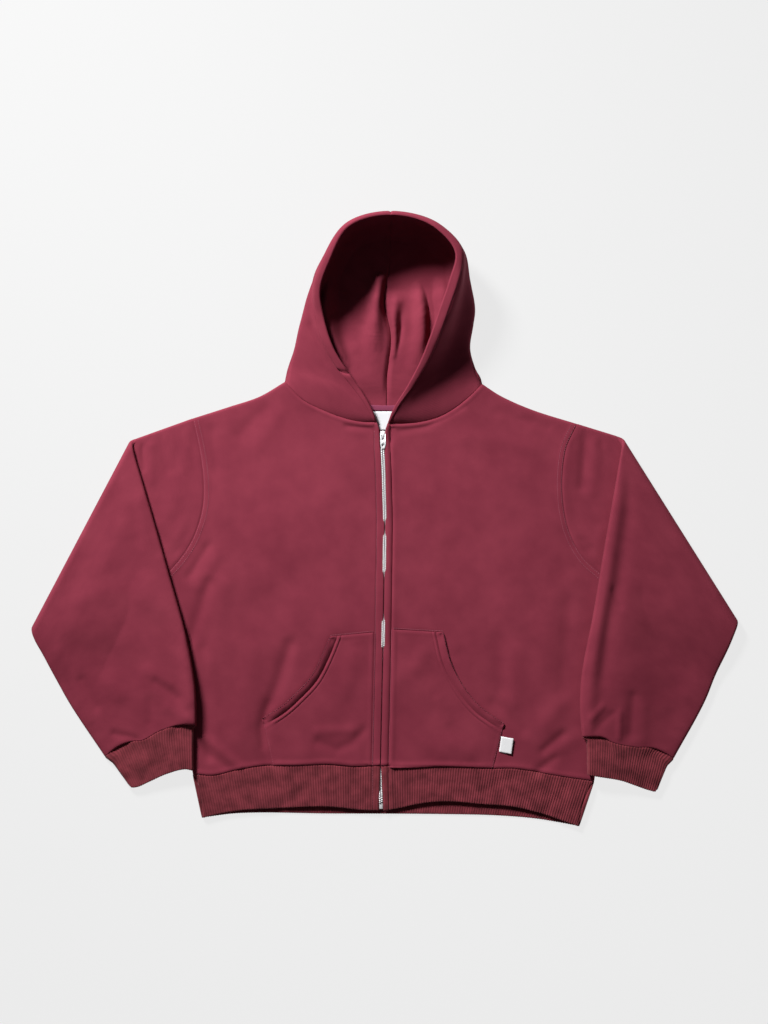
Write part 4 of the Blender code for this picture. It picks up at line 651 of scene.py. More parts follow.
def front_grid(side):
    """A front in the plane: rows from the hem seam up, and columns from the sleeve to the zip."""
    outer = np.vstack([spaced(TURNS[side]["side"], FRONT_STEPS["side"], start=ABOVE_HEM),
                       spaced(seam(side, "armhole"), FRONT_STEPS["armhole"])[1:]])
    neck = spaced(seam(side, "neckline"), FRONT_STEPS["neck"])[::-1]
    bottom, top = seam(side, "hem_seam"), TURNS[side]["shoulder"]
    low, tall = bottom[-1][1], neck[0][1] - bottom[-1][1]
    steps = len(outer) - len(neck) - len(ABOVE_HEM) - len(BELOW_NECK) + 2
    y = low + tall * places(tall, steps, start=ABOVE_HEM, end=BELOW_NECK)
    inner = np.vstack([beside_zip(side, y)[:-1], neck])
    inner[0], inner[-1] = bottom[-1], top[-1]
    return patch(bottom, top, outer, inner,
                 lambda width: places(width, FRONT_STEPS["across"], start=BESIDE_ARMHOLE, end=BESIDE_ZIP))


stitch_rows = []
for side in WAY:
    grid = front_grid(side)
    layer = upper_layer(grid)
    flat_seam = SEAM_FLAT * (1 - ramp(nearest_on(grid, seam(side, "armhole"))[0], 3, 3))
    half = CLOTH / 2 * np.maximum(rounded(from_edge(layer)), flat_seam)
    front = sheet_of(f"front_panel_{side}", layer, fleece, half=half)
    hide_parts(f"front_{side}")
    stitch_rows += [on_front(beside(seam(side, "armhole"), away, end=5)) for away in TWIN_STITCHES]
    stitch_rows.append(on_front(beside_zip(side, np.linspace(*ZIP_ROW), TOPSTITCH)))
sew("front_stitches", stitch_rows)

# The back: one panel of the same fleece, laid flat on the table. It shows from below, and a little of its
# inside shows in the neck.
BACK_NECKLINE = [(-144, 197.5), (-95, 176), (-45, 165), (3.6, 161.5), (50, 164.5), (98, 175), (141.4, 194.3)]
BACK_HEM_SEAM = [(-277.7, -370.8), (-248.7, -376), (-215, -371.5), (-150, -366), (0, -364), (150, -367),
                 (186, -369), (253, -377.5), (304, -380.8)]
BACK_HEM_EDGE = [(-264.2, -434), (-215, -428), (-80, -428.3), (88.7, -429.2), (164.3, -431.1),
                 (219.7, -435.6), (253, -441), (282, -446.5)]
BACK_STEPS = {"side": 34, "armhole": 36, "across": 116}


def lower_layer(points):
    """Points in the plane, laid at the mid thickness of the lower layer, which turns up at the outline."""
    rise = ROLL * (1 - np.sqrt(1 - turn(points) ** 2))
    return np.concatenate([points, (LOW_LEVEL + rise)[..., None]], axis=-1)


def across_back(points, name, end):
    """The curve through points from side to side, whose ends are those of the two sides' lines."""
    return curve([TURNS["left"][name][end], *points[1:-1], TURNS["right"][name][end]])


back_seam = across_back(BACK_HEM_SEAM, "side", 0)
back_neck = across_back(BACK_NECKLINE, "shoulder", -1)
back_sides = {side: np.vstack([spaced(TURNS[side]["side"], BACK_STEPS["side"]),
                               spaced(seam(side, "armhole"), BACK_STEPS["armhole"])[1:]]) for side in WAY}
back_sides["left"][0], back_sides["right"][0] = back_seam[0], back_seam[-1]
back_top = np.vstack([TURNS["left"]["shoulder"], back_neck[1:-1], TURNS["right"]["shoulder"][::-1]])
back_grid = patch(back_seam, back_top, *back_sides.values(),
                  lambda width: places(width, BACK_STEPS["across"]))
back = sheet_of("back_panel_cloth", lower_layer(back_grid), fleece)
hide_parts("back_panel")

# The hem band: one strip of rib knit, sewn to the fronts and the back and turned at both side seams. Its
# wales stand up as round ribs, and it lies plain beside the zip, where it is topstitched.
RIB_PITCH = 3.6
RIB_HEIGHT = {"hem": 0.32, "cuff": 0.24}
BAND_TALL = 62.0  # from a band's free edge to its seam
HEM_ROWS, UNDER_SEAM = (0, 0.3, 1.0, 2.2, 4.5), (0, 0.6, 1.6, 3.0)  # places near those two
HEM_STEPS = {"left": 540, "right": 600, "back": 780}  # along the band's three stretches
BAND_STEPS = 12  # from the free edge to the seam
PLAIN = (TOPSTITCH + 1, 2)  # from the zip, the band is plain up to here, and its ribs rise over this distance
HEM_ZIP_ROW = (-414, -364, 24)  # the stitches beside the zip: from this y to that one, and in how many points

# Round ribs along a band: each point moves out by a wave of its place along the band
ribs, given = node_group("ribs", [("Pitch", "Float"), ("Height", "Float"), ("Material", "Material")])
place, weight = (add_node(ribs, "GeometryNodeInputNamedAttribute", {"Name": name}, data_type="FLOAT")
                 for name in ("rib_place", "rib_weight"))
turns = add_node(ribs, "ShaderNodeMath", {0: place, 1: given["Pitch"]}, operation="DIVIDE")
angle = add_node(ribs, "ShaderNodeMath", {0: turns, 1: 2 * np.pi}, operation="MULTIPLY")
wave = add_node(ribs, "ShaderNodeMath", {0: angle}, operation="COSINE")
rise = add_node(ribs, "ShaderNodeMath", {0: wave, 1: given["Height"]}, operation="MULTIPLY")
rise = add_node(ribs, "ShaderNodeMath", {0: rise, 1: weight}, operation="MULTIPLY")
normal = add_node(ribs, "GeometryNodeInputNormal")
offset = add_node(ribs, "ShaderNodeVectorMath", {0: normal, "Scale": rise}, operation="SCALE")
ribbed = add_node(ribs, "GeometryNodeSetPosition", {"Geometry": given["Geometry"], "Offset": offset})
finish_tree(ribs, ribbed, given["Material"])

# Cotton rib knit: browner and duller than the fleece, with darker loops of the knit and soft patches, and
# painted highlight on the top of each rib with painted shade in the grooves between them
rib_knit, tree, shader = new_material("cotton_rib_knit", "6f333c", 0.95, Sheen_Weight=0.12,
                                      Specular_IOR_Level=0.2)
place = add_node(tree, "ShaderNodeUVMap", uv_map="cloth")
along_band = add_node(tree, "ShaderNodeSeparateXYZ", {"Vector": place})
turns = add_node(tree, "ShaderNodeMath", {0: along_band, 1: 2 * np.pi / RIB_PITCH}, operation="MULTIPLY")
# painted highlight and shade: light on the top of each rib, dark in the groove between ribs
crest_highlight = add_node(tree, "ShaderNodeMath", {0: turns}, operation="COSINE")
crest_highlight = add_node(tree, "ShaderNodeMapRange", {"Value": crest_highlight, "From Min": -1.0, "From Max": 1.0})
loops = add_node(tree, "ShaderNodeTexNoise", {"Vector": place, "Scale": 0.8, "Detail": 2.0})
fade = add_node(tree, "ShaderNodeTexNoise", {"Vector": place, "Scale": 0.06, "Detail": 3.0})
fade = add_node(tree, "ShaderNodeMapRange", {"Value": fade, "From Min": 0.33, "From Max": 0.67})
tone = add_node(tree, "ShaderNodeMix", {"Factor": 0.5, "A": crest_highlight, "B": loops})
tone = add_node(tree, "ShaderNodeMix", {"Factor": 0.5, "A": tone, "B": fade})
surface_colour = add_node(tree, "ShaderNodeMix", {"Factor": tone, "A": linear("521a21"), "B": linear("933c47")},
               data_type="RGBA")
relief = add_node(tree, "ShaderNodeBump", {"Height": loops, "Strength": 0.4, "Distance": 0.15 * MM})
feed(shader, {"Base Color": surface_colour, "Normal": relief})


def ribbed_band(name, middle, place, weight, height, ring=False):
    """A band of rib knit about a grid of points, with each point's place along the band. No rib goes down
    into the table."""
    rise = distances(middle, 0).mean(1)
    flat = np.stack(np.broadcast_arrays(place, rise[:, None]), axis=-1)
    made = sheet_of(name, middle, rib_knit, ring=ring, flat=flat)
    for label, values in (("rib_place", place), ("rib_weight", weight)):
        values = np.broadcast_to(values, middle.shape[:2]).astype(np.float32).reshape(-1)
        made.data.attributes.new(label, "FLOAT", "POINT").data.foreach_set("value", np.tile(values, 2))
    made.parent = None
    grow(made, ribs, {"Pitch": RIB_PITCH, "Height": height * MM, "Material": rib_knit})
    for vertex in made.data.vertices:
        vertex.co.z = max(vertex.co.z, 0.0)
    return made


def hem_stretch(top, bottom, layer, steps, end=TURNED, tall=None):
    """A stretch of the hem band between its seam and its free edge, laid on one of the layers."""
    share = places(lengths(top)[-1], steps, end=end)
    low, high = along(bottom, share)[None], along(top, share)[None]
    tall = tall or float(np.linalg.norm(high - low, axis=-1).mean())
    return layer(low + (high - low) * places(tall, BAND_STEPS, start=HEM_ROWS, end=UNDER_SEAM)[:, None, None])


hem_parts = {side: hem_stretch(seam(side, "hem_seam"), seam(side, "hem_edge"),
                               lambda p: upper_layer(p, sewn=False), HEM_STEPS[side], end=(0,))
             for side in WAY}
hem_back = hem_stretch(back_seam, across_back(BACK_HEM_EDGE, "hem_side", 0), lower_layer, HEM_STEPS["back"],
                       tall=BAND_TALL)
hem_middle = np.concatenate([hem_parts["left"][:, ::-1], hem_back[:, 1:-1], hem_parts["right"]], axis=1)
hem_place = lengths(hem_middle[len(hem_middle) // 2])[None]
from_zip = np.abs(hem_middle[..., 0] - zip_at(hem_middle[..., 1])[0])
on_back = np.zeros(hem_middle.shape[1], bool)
on_back[hem_parts["left"].shape[1]:-hem_parts["right"].shape[1]] = True
hem_weight = np.where(on_back, 1.0, ramp(from_zip, *PLAIN))
hem = ribbed_band("hem_band_rib", hem_middle, hem_place, hem_weight, RIB_HEIGHT["hem"])
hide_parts("hem_band")
for side in WAY:
    row = on_front(beside_zip(side, np.linspace(*HEM_ZIP_ROW), TOPSTITCH), sewn=False)
    sew(f"hem_stitches_{side}", [row])

# The sleeves: two tubes of fleece set into dropped armholes. Each is folded over along an oblique line, so
# that its end lies on its first stretch and on the side of the body, with the seams along both edges.
SLEEVES = {
    "left": {
        "fold": [(-367.8, 112.3), (-509.6, -157.0)],
        "corners": [(-6.7, 8.3), (-6.4, 9.5)],
        "inner_edge": [(-359.5, 86), (-351.0, 58), (-335.0, 3.8), (-313.5, -71.2), (-285.2, -172.5),
                       (-272.1, -246.9)],
        "outer_edge": [(-504.3, -178.2), (-496.9, -191.6), (-478.4, -227.7), (-456.5, -267.5)],
        "cuff_seam": [(-270.6, -297.8), (-286.5, -297.8), (-305.2, -300.6), (-325.5, -307.9),
                      (-350, -321.2), (-365.9, -322.7), (-384.5, -330.2), (-405.3, -344.7)],
        "cuff_edge": [(-275.8, -364), (-286.8, -362.4), (-314.4, -369.5), (-342, -382.2),
                      (-358, -389.2), (-366.5, -389.3), (-371, -384.5)],
        "narrower": (5.0, 4.0),
        "lips": [(0.0, 0.30, 1.0), (0.62, 0.98, 1.0)],
    },
    "right": {
        "fold": [(347.0, 112.4), (510.4, -147.6)],
        "corners": [(-12.0, 6.8), (-5.4, 7.7)],
        "inner_edge": [(339.8, 86), (335.0, 58), (324.0, -5), (312.1, -72.7), (302, -133.5), (283.7, -232.5),
                       (282, -274.3)],
        "outer_edge": [(504.5, -170), (496.7, -189.6), (480, -225.6), (464.7, -263.9)],
        "cuff_seam": [(284.9, -315.2), (317.7, -317.2), (326.9, -322.7), (363.7, -330.9),
                      (385.8, -331.9), (411.7, -343), (419, -347.8)],
        "cuff_edge": [(292.9, -370.6), (308.7, -373.3), (341.5, -379.2), (363.4, -387),
                      (384, -394.2), (392, -395.5), (395.5, -391)],
        "narrower": (7.0, 5.0),
        "lips": [(0.0, 0.34, 1.0), (0.66, 1.0, 0.8)],
    },
}
FOLD_HEIGHT = 8.15  # of the line that the sleeve is folded about
BEND = np.pi * (FOLD_HEIGHT - TURN_LEVEL)  # cloth taken up by the fold
SEAT_ON_SLEEVE, SEAT_ON_BODY = 8.6, 10.6  # undersides of cloth that lies on a sleeve or on the body
DRAPE = 105.0  # how far out from such a support the cloth takes to reach the table
FIRST_CREASES = [
    (4, -1.6, [(-351, 104), (-348, 70)]), (7, 1.2, [(-337, 104), (-337, 55)]),
    (9, -1.0, [(-324, 113), (-315, 70)]), (9, -1.2, [(-327, -27), (-298, -50)]),
    (9, 1.0, [(-289, -5), (-306, -41)]), (8, 0.9, [(-284, 128), (-290, 70)]),
    (12, 0.8, [(-296, 52), (-320, -6)]), (8, -2.2, [(291, 125), (286, 46)]),
    (9, 1.0, [(307, 113), (301, 40)]), (6, -1.2, [(313, 124), (314, 108)]),
    (4, -1.8, [(285, -32), (292, -49)]), (5, -1.4, [(298, -44), (312, -70)]),
    (6, 1.0, [(313, -18), (304, -62)]),
]
OVER_CREASES = [
    (16, 1.4, [(-469, -123), (-382, -106)]), (18, 1.5, [(-343, -118), (-323, -130)]),
    (20, -1.2, [(-445, -185), (-358, -214)]), (8, -1.8, [(-437, -235), (-417, -273)]),
    (13, 1.6, [(-396, -241), (-385, -255)]), (7, -1.6, [(-329, -236), (-298, -259)]),
    (9, 1.2, [(-341, -221), (-309, -238)]), (6, -1.6, [(-390, -312), (-358, -319)]),
    (7, 1.4, [(-289, -177), (-280, -264)]), (9, 1.2, [(-353, 26), (-338, -61)]),
    (12, -0.8, [(-365, 41), (-356, -32)]), (18, 0.9, [(-404, -64), (-418, -107)]),
    (8, -1.2, [(-337, -264), (-337, -293)]), (7, 1.2, [(-312, -273), (-286, -289)]),
    (7, 1.0, [(-470, -191), (-426, -293)]), (18, 1.0, [(373, 27), (402, -60)]),
    (5, -1.4, [(330, -104), (341, -125)]), (5, -0.9, [(328, -282), (303, -304)]),
    (5, 1.6, [(314, -272), (297, -289)]), (8, -1.6, [(358, -258), (354, -312)]),
    (9, 0.9, [(374, -273), (373, -319)]), (5, 1.4, [(339, -281), (338, -316)]),
    (22, -1.0, [(382, -184), (440, -213)]), (22, 0.8, [(426, -121), (455, -150)]),
    (14, 0.9, [(403, -273), (432, -258)]),
]
# Where the inner edge of a folded sleeve swells up: lines of x, y, half width and height
SLEEVE_SWELLS = [
    [(346, 84, 9, 1), (341, 58, 9, 2.8), (334, 5, 9, 3.0), (326, -51, 9, 3.2), (320, -92, 9, 3.4),
     (308.5, -162, 9, 3.6), (300, -217, 10, 3.6), (296, -264, 11, 3.2), (297, -300, 11, 2.8)],
    [(357, 60, 8, -0.7), (351, 5, 9, -1.3), (344, -51, 10, -1.6), (338, -92, 10, -2.0), (328, -130, 11, -2.0),
     (320, -175, 10, -1.7), (314, -230, 10, -1.4)],
    [(-326, -60, 9, 0.5), (-306, -140, 10, 1.0), (-294, -190, 11, 1.6), (-286, -240, 12, 2.0),
     (-284, -285, 13, 2.4)],
]
# The left sleeve's edge stands off the body towards its cuff, in the same way
SLEEVE_LIFTS = [[(-313, -72, 14, 0), (-292, -150, 14, 2.0), (-281, -200, 14, 4.5), (-273, -247, 14, 6.5),
                 (-271, -290, 14, 6.0)]]
PUFF = 2.6  # how far the end of a sleeve swells up between its edges
PUFF_EDGE = 26  # over this distance from an edge
LIP_REACH = 2.4  # from the cuff's seam to where a sleeve that balloons over it has its full height
LIP_SWELLS = [(4, 4, 0.5)]  # by distance from that seam, half width and height
LIP_ROLL = (1.6, 0.9)  # the last stretch before the seam, and how far it rolls down
LIFT_STARTS = (4, 26)  # past the fold: where the left sleeve's edge starts to lift, and how far that takes
BEFORE_FOLD, PAST_FOLD = 150, 330  # about how long a sleeve's two stretches are
SLEEVE_STEPS = {"before": 34, "round": 14, "past": 92, "across": 72}  # before, round and past the fold
FIRST_CALM = 20  # from a sleeve's edge to where the creases of its first stretch have their full height
FIRST_END = (0.75, 0.25)  # the share of that stretch where they start to fade, and how much that takes
AT_BODY = 0.12  # the share of it over which a sleeve leaves the body's own height
SEATED = 30  # past the fold: the distance over which the cloth comes down on what is under it
SETTLE = (3, 45)  # past the fold: where the top stretch starts to swell, and how far that takes


def fold_frame(side):
    """A point and a way along the line that a sleeve is folded about, and the way out from the garment."""
    top, bottom = (np.array(p, float) for p in SLEEVES[side]["fold"])
    way = (bottom - top) / np.linalg.norm(bottom - top)
    out = np.array([way[1], -way[0]])
    out = -out if out @ top < 0 else out
    return top - out * FOLD_HEIGHT, way, out


def unfolded(points, side):
    """Places on the folded stretch, in the plane before it was folded over."""
    start, _, out = fold_frame(side)
    points = np.asarray(points, float)
    return points + (BEND - 2 * ((points - start) @ out))[..., None] * out


def outside(points, ring):
    """How far outside a closed line each point lies, 0 inside it."""
    return np.where(within(points, ring), 0.0, nearest_on(points, np.vstack([ring, ring[:1]]))[0])


def support(points, side):
    """Height of the underside of cloth draped over the body's side and the sleeve's first stretch."""
    part = [curve(OUTLINE[side][name], 6) for name in ("hem_side", "side", "armhole", "shoulder")]
    body = np.vstack([[(0, -425)], *part, [(0, 160)]])
    first = np.vstack([part[2], SLEEVES[side]["fold"]])
    on_body = SEAT_ON_BODY * (1 - smoothstep(outside(points, body) / DRAPE))
    on_sleeve = SEAT_ON_SLEEVE * (1 - smoothstep(outside(points, first) / DRAPE))
    return np.maximum(on_body, on_sleeve)


def folded(points, side):
    """Turns points past the fold line over and lays them on what is under them."""
    start, way, out = fold_frame(side)
    depth, lateral = (points[..., :2] - start) @ out, (points[..., :2] - start) @ way
    radius = FOLD_HEIGHT - points[..., 2]
    angle = np.clip(depth / BEND, 0, 1) * np.pi
    past = np.maximum(depth - BEND, 0)
    over = np.where(depth < 0, depth, radius * np.sin(angle) - past)
    place = start + over[..., None] * out + lateral[..., None] * way
    lift = (support(place, side) - SEAT_ON_SLEEVE) * smoothstep(past / SEATED)
    height = FOLD_HEIGHT - radius * np.cos(angle) + lift
    return np.concatenate([place, height[..., None]], axis=-1), past


def inset(points, side):
    """A sleeve's edge, moved in by half the thickness of its cloth."""
    line = np.array(points, float)
    across = square_to(line)
    middle = np.mean([SLEEVES[side]["inner_edge"][2], SLEEVES[side]["outer_edge"][0]], axis=0)
    moved = line + across * np.sign(((middle - line) * across).sum(1))[:, None] * CLOTH / 2
    moved[0] = line[0]
    return curve(moved)


def across_cuff(side, name):
    """The cuff's seam or its open edge, from the inner side to the outer."""
    line = np.array(SLEEVES[side][name], float)
    way = (line[-1] - line[0]) / np.linalg.norm(line[-1] - line[0])
    line[0] += way * CLOTH / 2
    line[-1] -= way * CLOTH / 2
    return curve(line)


def tube_places(length, steps):
    """Shares across a flattened tube, and how far the cloth has come round at each, from 0 to 1."""
    share = places(length, steps)
    lean = np.clip(1 - np.minimum(share, 1 - share) * length / ROLL, 0, 1)
    return share, np.sqrt(1 - lean**2)


def tube(plan, above, below):
    """A ring of points: along the upper side of a flattened tube, then back along the lower side."""
    return np.concatenate([np.column_stack([plan, above]), np.column_stack([plan, below])[1:-1][::-1]])


def sleeve_tube(side):
    """The sleeve's rings of points at mid thickness, each point's place on the flat cloth, and how many
    points of a ring are on its upper side."""
    data, steps, armhole_seam = SLEEVES[side], SLEEVE_STEPS, seam(side, "armhole")
    start, way, out = fold_frame(side)
    armhole = along(armhole_seam, np.linspace(1, 0, 200))
    even = np.linspace(0, 1, 200)[:, None]
    under, over = ([start + way * ((np.array(corner) - start) @ way + data["corners"][k][layer])
                    for k, corner in enumerate(data["fold"])] for layer in (0, 1))
    on_fold, off_fold = (ends[0] + even * (ends[1] - ends[0]) for ends in (under, over))
    seam_line = unfolded(along(across_cuff(side, "cuff_seam"), even[:, 0]), side)
    inner = unfolded(inset([over[0], *data["inner_edge"], data["cuff_seam"][0]], side), side)
    outer = unfolded(inset([over[1], *data["outer_edge"], data["cuff_seam"][-1]], side), side)
    inner[-1], outer[-1] = seam_line[0], seam_line[-1]
    bow = seam_line - (seam_line[0] + even * (seam_line[-1] - seam_line[0]))
    sections = [(armhole + (on_fold - armhole) * t, t)
                for t in places(BEFORE_FOLD, steps["before"], end=(0,))]
    sections += [(on_fold + (off_fold - on_fold) * t + out * BEND * t, 1.0)
                 for t in np.linspace(0, 1, steps["round"] + 1)[1:]]
    for t in places(PAST_FOLD, steps["past"], start=(0,))[1:]:
        a, b = along(inner, t), along(outer, t)
        sections.append((a + even * (b - a) + bow * ramp(t, 0.4, 0.6), 1.0))
    rings, across = [], []
    for line, t in sections:
        length = lengths(line)[-1]
        share, lift = tube_places(length, steps["across"])
        own = np.full_like(share, EDGE_LEVEL)
        if t < 1:
            plan = along(line, share)
            edge = np.minimum(share, 1 - share) * length
            own = REST_LEVEL + (EDGE_LEVEL - REST_LEVEL) * bump(edge, 0, EDGE_RISE)
            calm = smoothstep(edge / FIRST_CALM) * (1 - ramp(t, *FIRST_END))
            own = own + creases(plan, FIRST_CREASES) * calm
            own = own + 0.3 * bump(nearest_on(plan, armhole_seam)[0], 7, 5)
            own = own + (upper_level(plan) - own) * (1 - smoothstep(t / AT_BODY))
        upper, lower = TURN_LEVEL + (own - TURN_LEVEL) * lift, TURN_LEVEL - ROLL * lift
        rings.append(tube(along(line, share), upper, lower))
        across.append(np.concatenate([share, 2 - share[1:-1][::-1]]) * length)
    rings = np.array(rings)
    down = lengths(rings[:, steps["across"] // 2])
    flat = np.stack(np.broadcast_arrays(np.array(across), down[:, None]), axis=-1)
    return rings, flat, len(share)


def lips(side, share):
    """How far the fleece balloons over the cuff's seam at shares across it."""
    return sum(much * smoothstep((share - a) / 0.14 + (a == 0)) * (1 - ramp(share, b - 0.13, 0.13))
               for a, b, much in SLEEVES[side]["lips"])


def shape_over(side, rings, count):
    """Swells and creases the stretch of a sleeve that lies on top, and rolls it down at the cuff's seam."""
    placed, past = folded(rings, side)
    placed[..., 2] += folds(placed, SLEEVE_LIFTS) * ramp(past, *LIFT_STARTS)
    top = placed[:, count:]
    across = lengths(placed[-1, :count])
    share = 1 - across[1:-1] / across[-1]
    width = np.linalg.norm(placed[:, 0, :2] - placed[:, count - 1, :2], axis=1)[:, None]
    edge = np.minimum(share, 1 - share)[None] * width
    left = distances(top[::-1], 0)[::-1]
    rise = PUFF * rounded(edge, PUFF_EDGE, least=0)
    rise = rise + creases(top, OVER_CREASES) * smoothstep(edge / 9)
    rise = rise + folds(top, SLEEVE_SWELLS) * smoothstep(edge / 5)
    lip = lips(side, share)[None]
    rise = rise * (1 - lip * (1 - rounded(left, LIP_REACH, least=0)))
    rolled = LIP_ROLL[1] * (1 - rounded(left, LIP_ROLL[0], least=0))
    rise = rise + lip * (swells(left, LIP_SWELLS) - rolled)
    top[..., 2] += rise * ramp(past[:, count:], *SETTLE) * smoothstep(edge / 3)
    return placed


sleeve_ends = {}
for side in WAY:
    rings, flat, count = sleeve_tube(side)
    placed = shape_over(side, rings, count)
    from_ends = np.minimum(flat[..., 1], flat[-1:, :, 1] - flat[..., 1])
    half = CLOTH / 2 * np.maximum(rounded(from_ends), SEAM_FLAT * (flat[..., 1] < 10))
    sleeve = sheet_of(f"sleeve_tube_{side}", placed, fleece, ring=True, flat=flat, half=half)
    sleeve_ends[side] = (placed[-1], count)
    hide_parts(f"sleeve_{side}")

# The cuffs: short tubes of the same rib knit, flattened, tighter than the sleeves that balloon over them.
CUFF_DENTS = [
    (9, -2.2, [(-333, -353), (-309, -335)]), (8, 0.9, [(-353, -347), (-341, -357)]),
    (6, -1.0, [(-387, -352), (-373, -358)]), (7, -0.8, [(329, -347), (344, -354)]),
    (9, 0.7, [(386, -352), (393, -372)]),
]
CUFF_STEPS = 270  # across a flattened cuff, fine enough for its ribs
CUFF_ROWS = (0, 0.3, 0.9, 1.8, 3.2, 5)  # places near the seam
CUFF_SWELL, LIP_PRESS = 1.2, 0.8  # how far a cuff swells up, and how far a lip of fleece presses it down
CUFF_JOIN = (0.34, 0.24)  # share of a cuff over which it leaves the sleeve's end, and how much less by a lip
for side in WAY:
    start_ring, count = sleeve_ends[side]
    seam_line, wrist_line = across_cuff(side, "cuff_seam"), across_cuff(side, "cuff_edge")
    share, lift = tube_places(lengths(seam_line)[-1], CUFF_STEPS)
    hidden = start_ring[:count]
    shown = np.vstack([hidden[:1], start_ring[count:][::-1], hidden[-1:]])
    coarse = lengths(hidden) / lengths(hidden)[-1]
    hidden, shown = (np.stack([np.interp(share, coarse, line[:, k]) for k in range(3)], axis=1)
                     for line in (hidden, shown))
    first = np.concatenate([hidden, shown[1:-1][::-1]])
    lost = np.array(SLEEVES[side]["narrower"]) / lengths(seam_line)[-1]
    own_line = along(seam_line, lost[0] + share * (1 - lost.sum()))
    lip = lips(side, share)
    ring_lip = np.concatenate([lip, lip[1:-1][::-1]])[:, None]
    cuff_rows = []
    for t in places(BAND_TALL, 9, start=CUFF_ROWS, end=HEM_ROWS):
        plan = own_line * (1 - t) + along(wrist_line, share) * t
        base = support(plan, side)
        swell = CUFF_SWELL * np.sin(np.pi * np.clip(t * 1.1, 0, 1))
        swell = swell + creases(plan, CUFF_DENTS) * smoothstep(t / 0.2)
        swell = swell - LIP_PRESS * lip * (1 - smoothstep(t / 0.5))
        ring = tube(plan, base + TURN_LEVEL - ROLL * lift, base + TURN_LEVEL + (ROLL + swell) * lift)
        if t == 0:
            gap = first - ring
        cuff_rows.append(ring + gap * (1 - smoothstep(t / (CUFF_JOIN[0] - CUFF_JOIN[1] * ring_lip))))
    cuff_middle = np.array(cuff_rows)
    far = lengths(np.vstack([cuff_middle[8], cuff_middle[8][:1]]))[:-1]
    far = far * (round(far[-1] / RIB_PITCH) * RIB_PITCH / far[-1])
    cuff = ribbed_band(f"cuff_rib_{side}", cuff_middle, far[None], 1.0, RIB_HEIGHT["cuff"], ring=True)
    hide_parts(f"cuff_{side}")

# The hood: two panels of fleece that meet in one seam from the back of the neck over the crown, sewn into
# the neckline. It lies on its back with the face opening up. The face edge is turned in and stitched.
# Each row gives the face edge, how far out and up its turned-in hem reaches, the hood's outline from above,
# how far the side swells, where the cloth comes to the table as a share of the way to the seam and how
# high, and the seam itself.
HOOD_ROWS = {
    "left": [
        (-16.8, 154.5, 11, 12, 0, -143.5, 205.0, 5, 5.0, 0.16, 1.2, 3.6, 176),
        (-40.3, 194.1, 17, 11, -1, -138.0, 226.0, 8, 3.0, 0.18, 1.2, 3.8, 196),
        (-52.6, 210.9, 21, 10, -2, -131.5, 245.0, 12, 2.0, 0.22, 1.2, 5.5, 216),
        (-72.0, 242.1, 27, 10, -2, -122.0, 280.0, 17, 0.8, 0.28, 1.6, 8.6, 242),
        (-88.2, 295.0, 36, 9, -2, -110.5, 318.0, 25, 0.8, 0.30, 2.0, 6.6, 272),
        (-91.5, 320.2, 46, 8, -2, -103.0, 339.0, 35, 0.8, 0.30, 3.0, 0.0, 298),
        (-76.5, 366.5, 66, 8.5, -2, -87.0, 374.0, 52, 0.6, 0.26, 3.5, 1.0, 326),
        (-51.5, 410.5, 78, 5, -3, -56.0, 416.5, 62, 0.6, 0.26, 4.5, 4.0, 350),
        (8.5, 428.5, 78, 4, -4, 9.0, 434.5, 60, 0.5, 0.34, 5.0, 8.0, 370),
    ],
    "right": [
        (10.8, 153.8, 15, 6, 1, 141.0, 201.0, 5, 2.0, 0.16, 1.2, 3.6, 176),
        (33.5, 191.2, 31, 8, 1, 131.8, 219.4, 8, -3.0, 0.16, 1.2, 3.8, 196),
        (51.3, 225.0, 44, 12, 1, 124.3, 246.1, 11, -6.0, 0.16, 1.2, 5.5, 216),
        (66.5, 263.4, 58, 16, 1, 128.5, 279.0, 16, -6.0, 0.16, 1.2, 8.6, 242),
        (78.0, 297.0, 66, 18, 1, 130.4, 302.0, 22, -4.0, 0.18, 2.0, 6.6, 272),
        (91.8, 337.5, 74, 16, 0, 123.0, 342.0, 32, 0.0, 0.20, 3.0, 0.0, 298),
        (100.0, 374.2, 78, 9, -3, 114.5, 379.0, 47, 0.5, 0.22, 3.5, 1.0, 326),
        (73.0, 409.0, 79, 6, -5, 79.5, 416.5, 62, 0.6, 0.26, 4.5, 4.0, 350),
        (8.5, 428.5, 78, 4, -4, 9.0, 434.5, 60, 0.5, 0.34, 5.0, 8.0, 370),
    ],
}
# The centre seam, as x and y
HOOD_SEAM = [(3.6, 161.5), (3.6, 176), (3.6, 201), (6.5, 228), (9.2, 251), (8.6, 270), (4.5, 288), (0.0, 305),
             (0.5, 322), (3.0, 338), (6.0, 355), (8.0, 374), (8.5, 440)]
# Soft folds of the cloth that is bunched on the table inside the hood: each a line of x, y, half width and
# height, where below 0 is a dent
HOOD_FOLDS = [
    [(-4, 362, 7, 3), (-6, 350, 8, 12), (-11, 318, 9, 14), (-13, 280, 11, 11), (-14, 240, 15, 5),
     (-12, 205, 16, 2)],
    [(18, 330, 11, 0), (16, 312, 9, 6), (14, 294, 6, 7), (13, 262, 5, 7), (12, 238, 6, 3)],
    [(24, 292, 4, -1), (24, 276, 4, -3.5), (23, 262, 3.5, -2), (18, 240, 4, -1.5), (16, 226, 4, 0)],
    [(46, 342, 9, 0), (51, 322, 9, 6), (54, 292, 9, 11), (53, 258, 11, 7), (44, 222, 13, 2.5)],
    [(58, 350, 6, -2), (63, 325, 6, -6), (68, 290, 6, -8), (66, 262, 6, -6), (60, 240, 6, -2)],
    [(80, 352, 9, 0), (84, 324, 9, 6), (88, 285, 9, 8)],
    [(-84, 352, 10, 5), (-87, 325, 12, 14), (-86, 300, 13, 17), (-79, 272, 11, 15), (-67, 245, 8, 9),
     (-56, 222, 6, 3)],
    [(-44, 240, 16, 2), (-34, 205, 16, 2)],
]
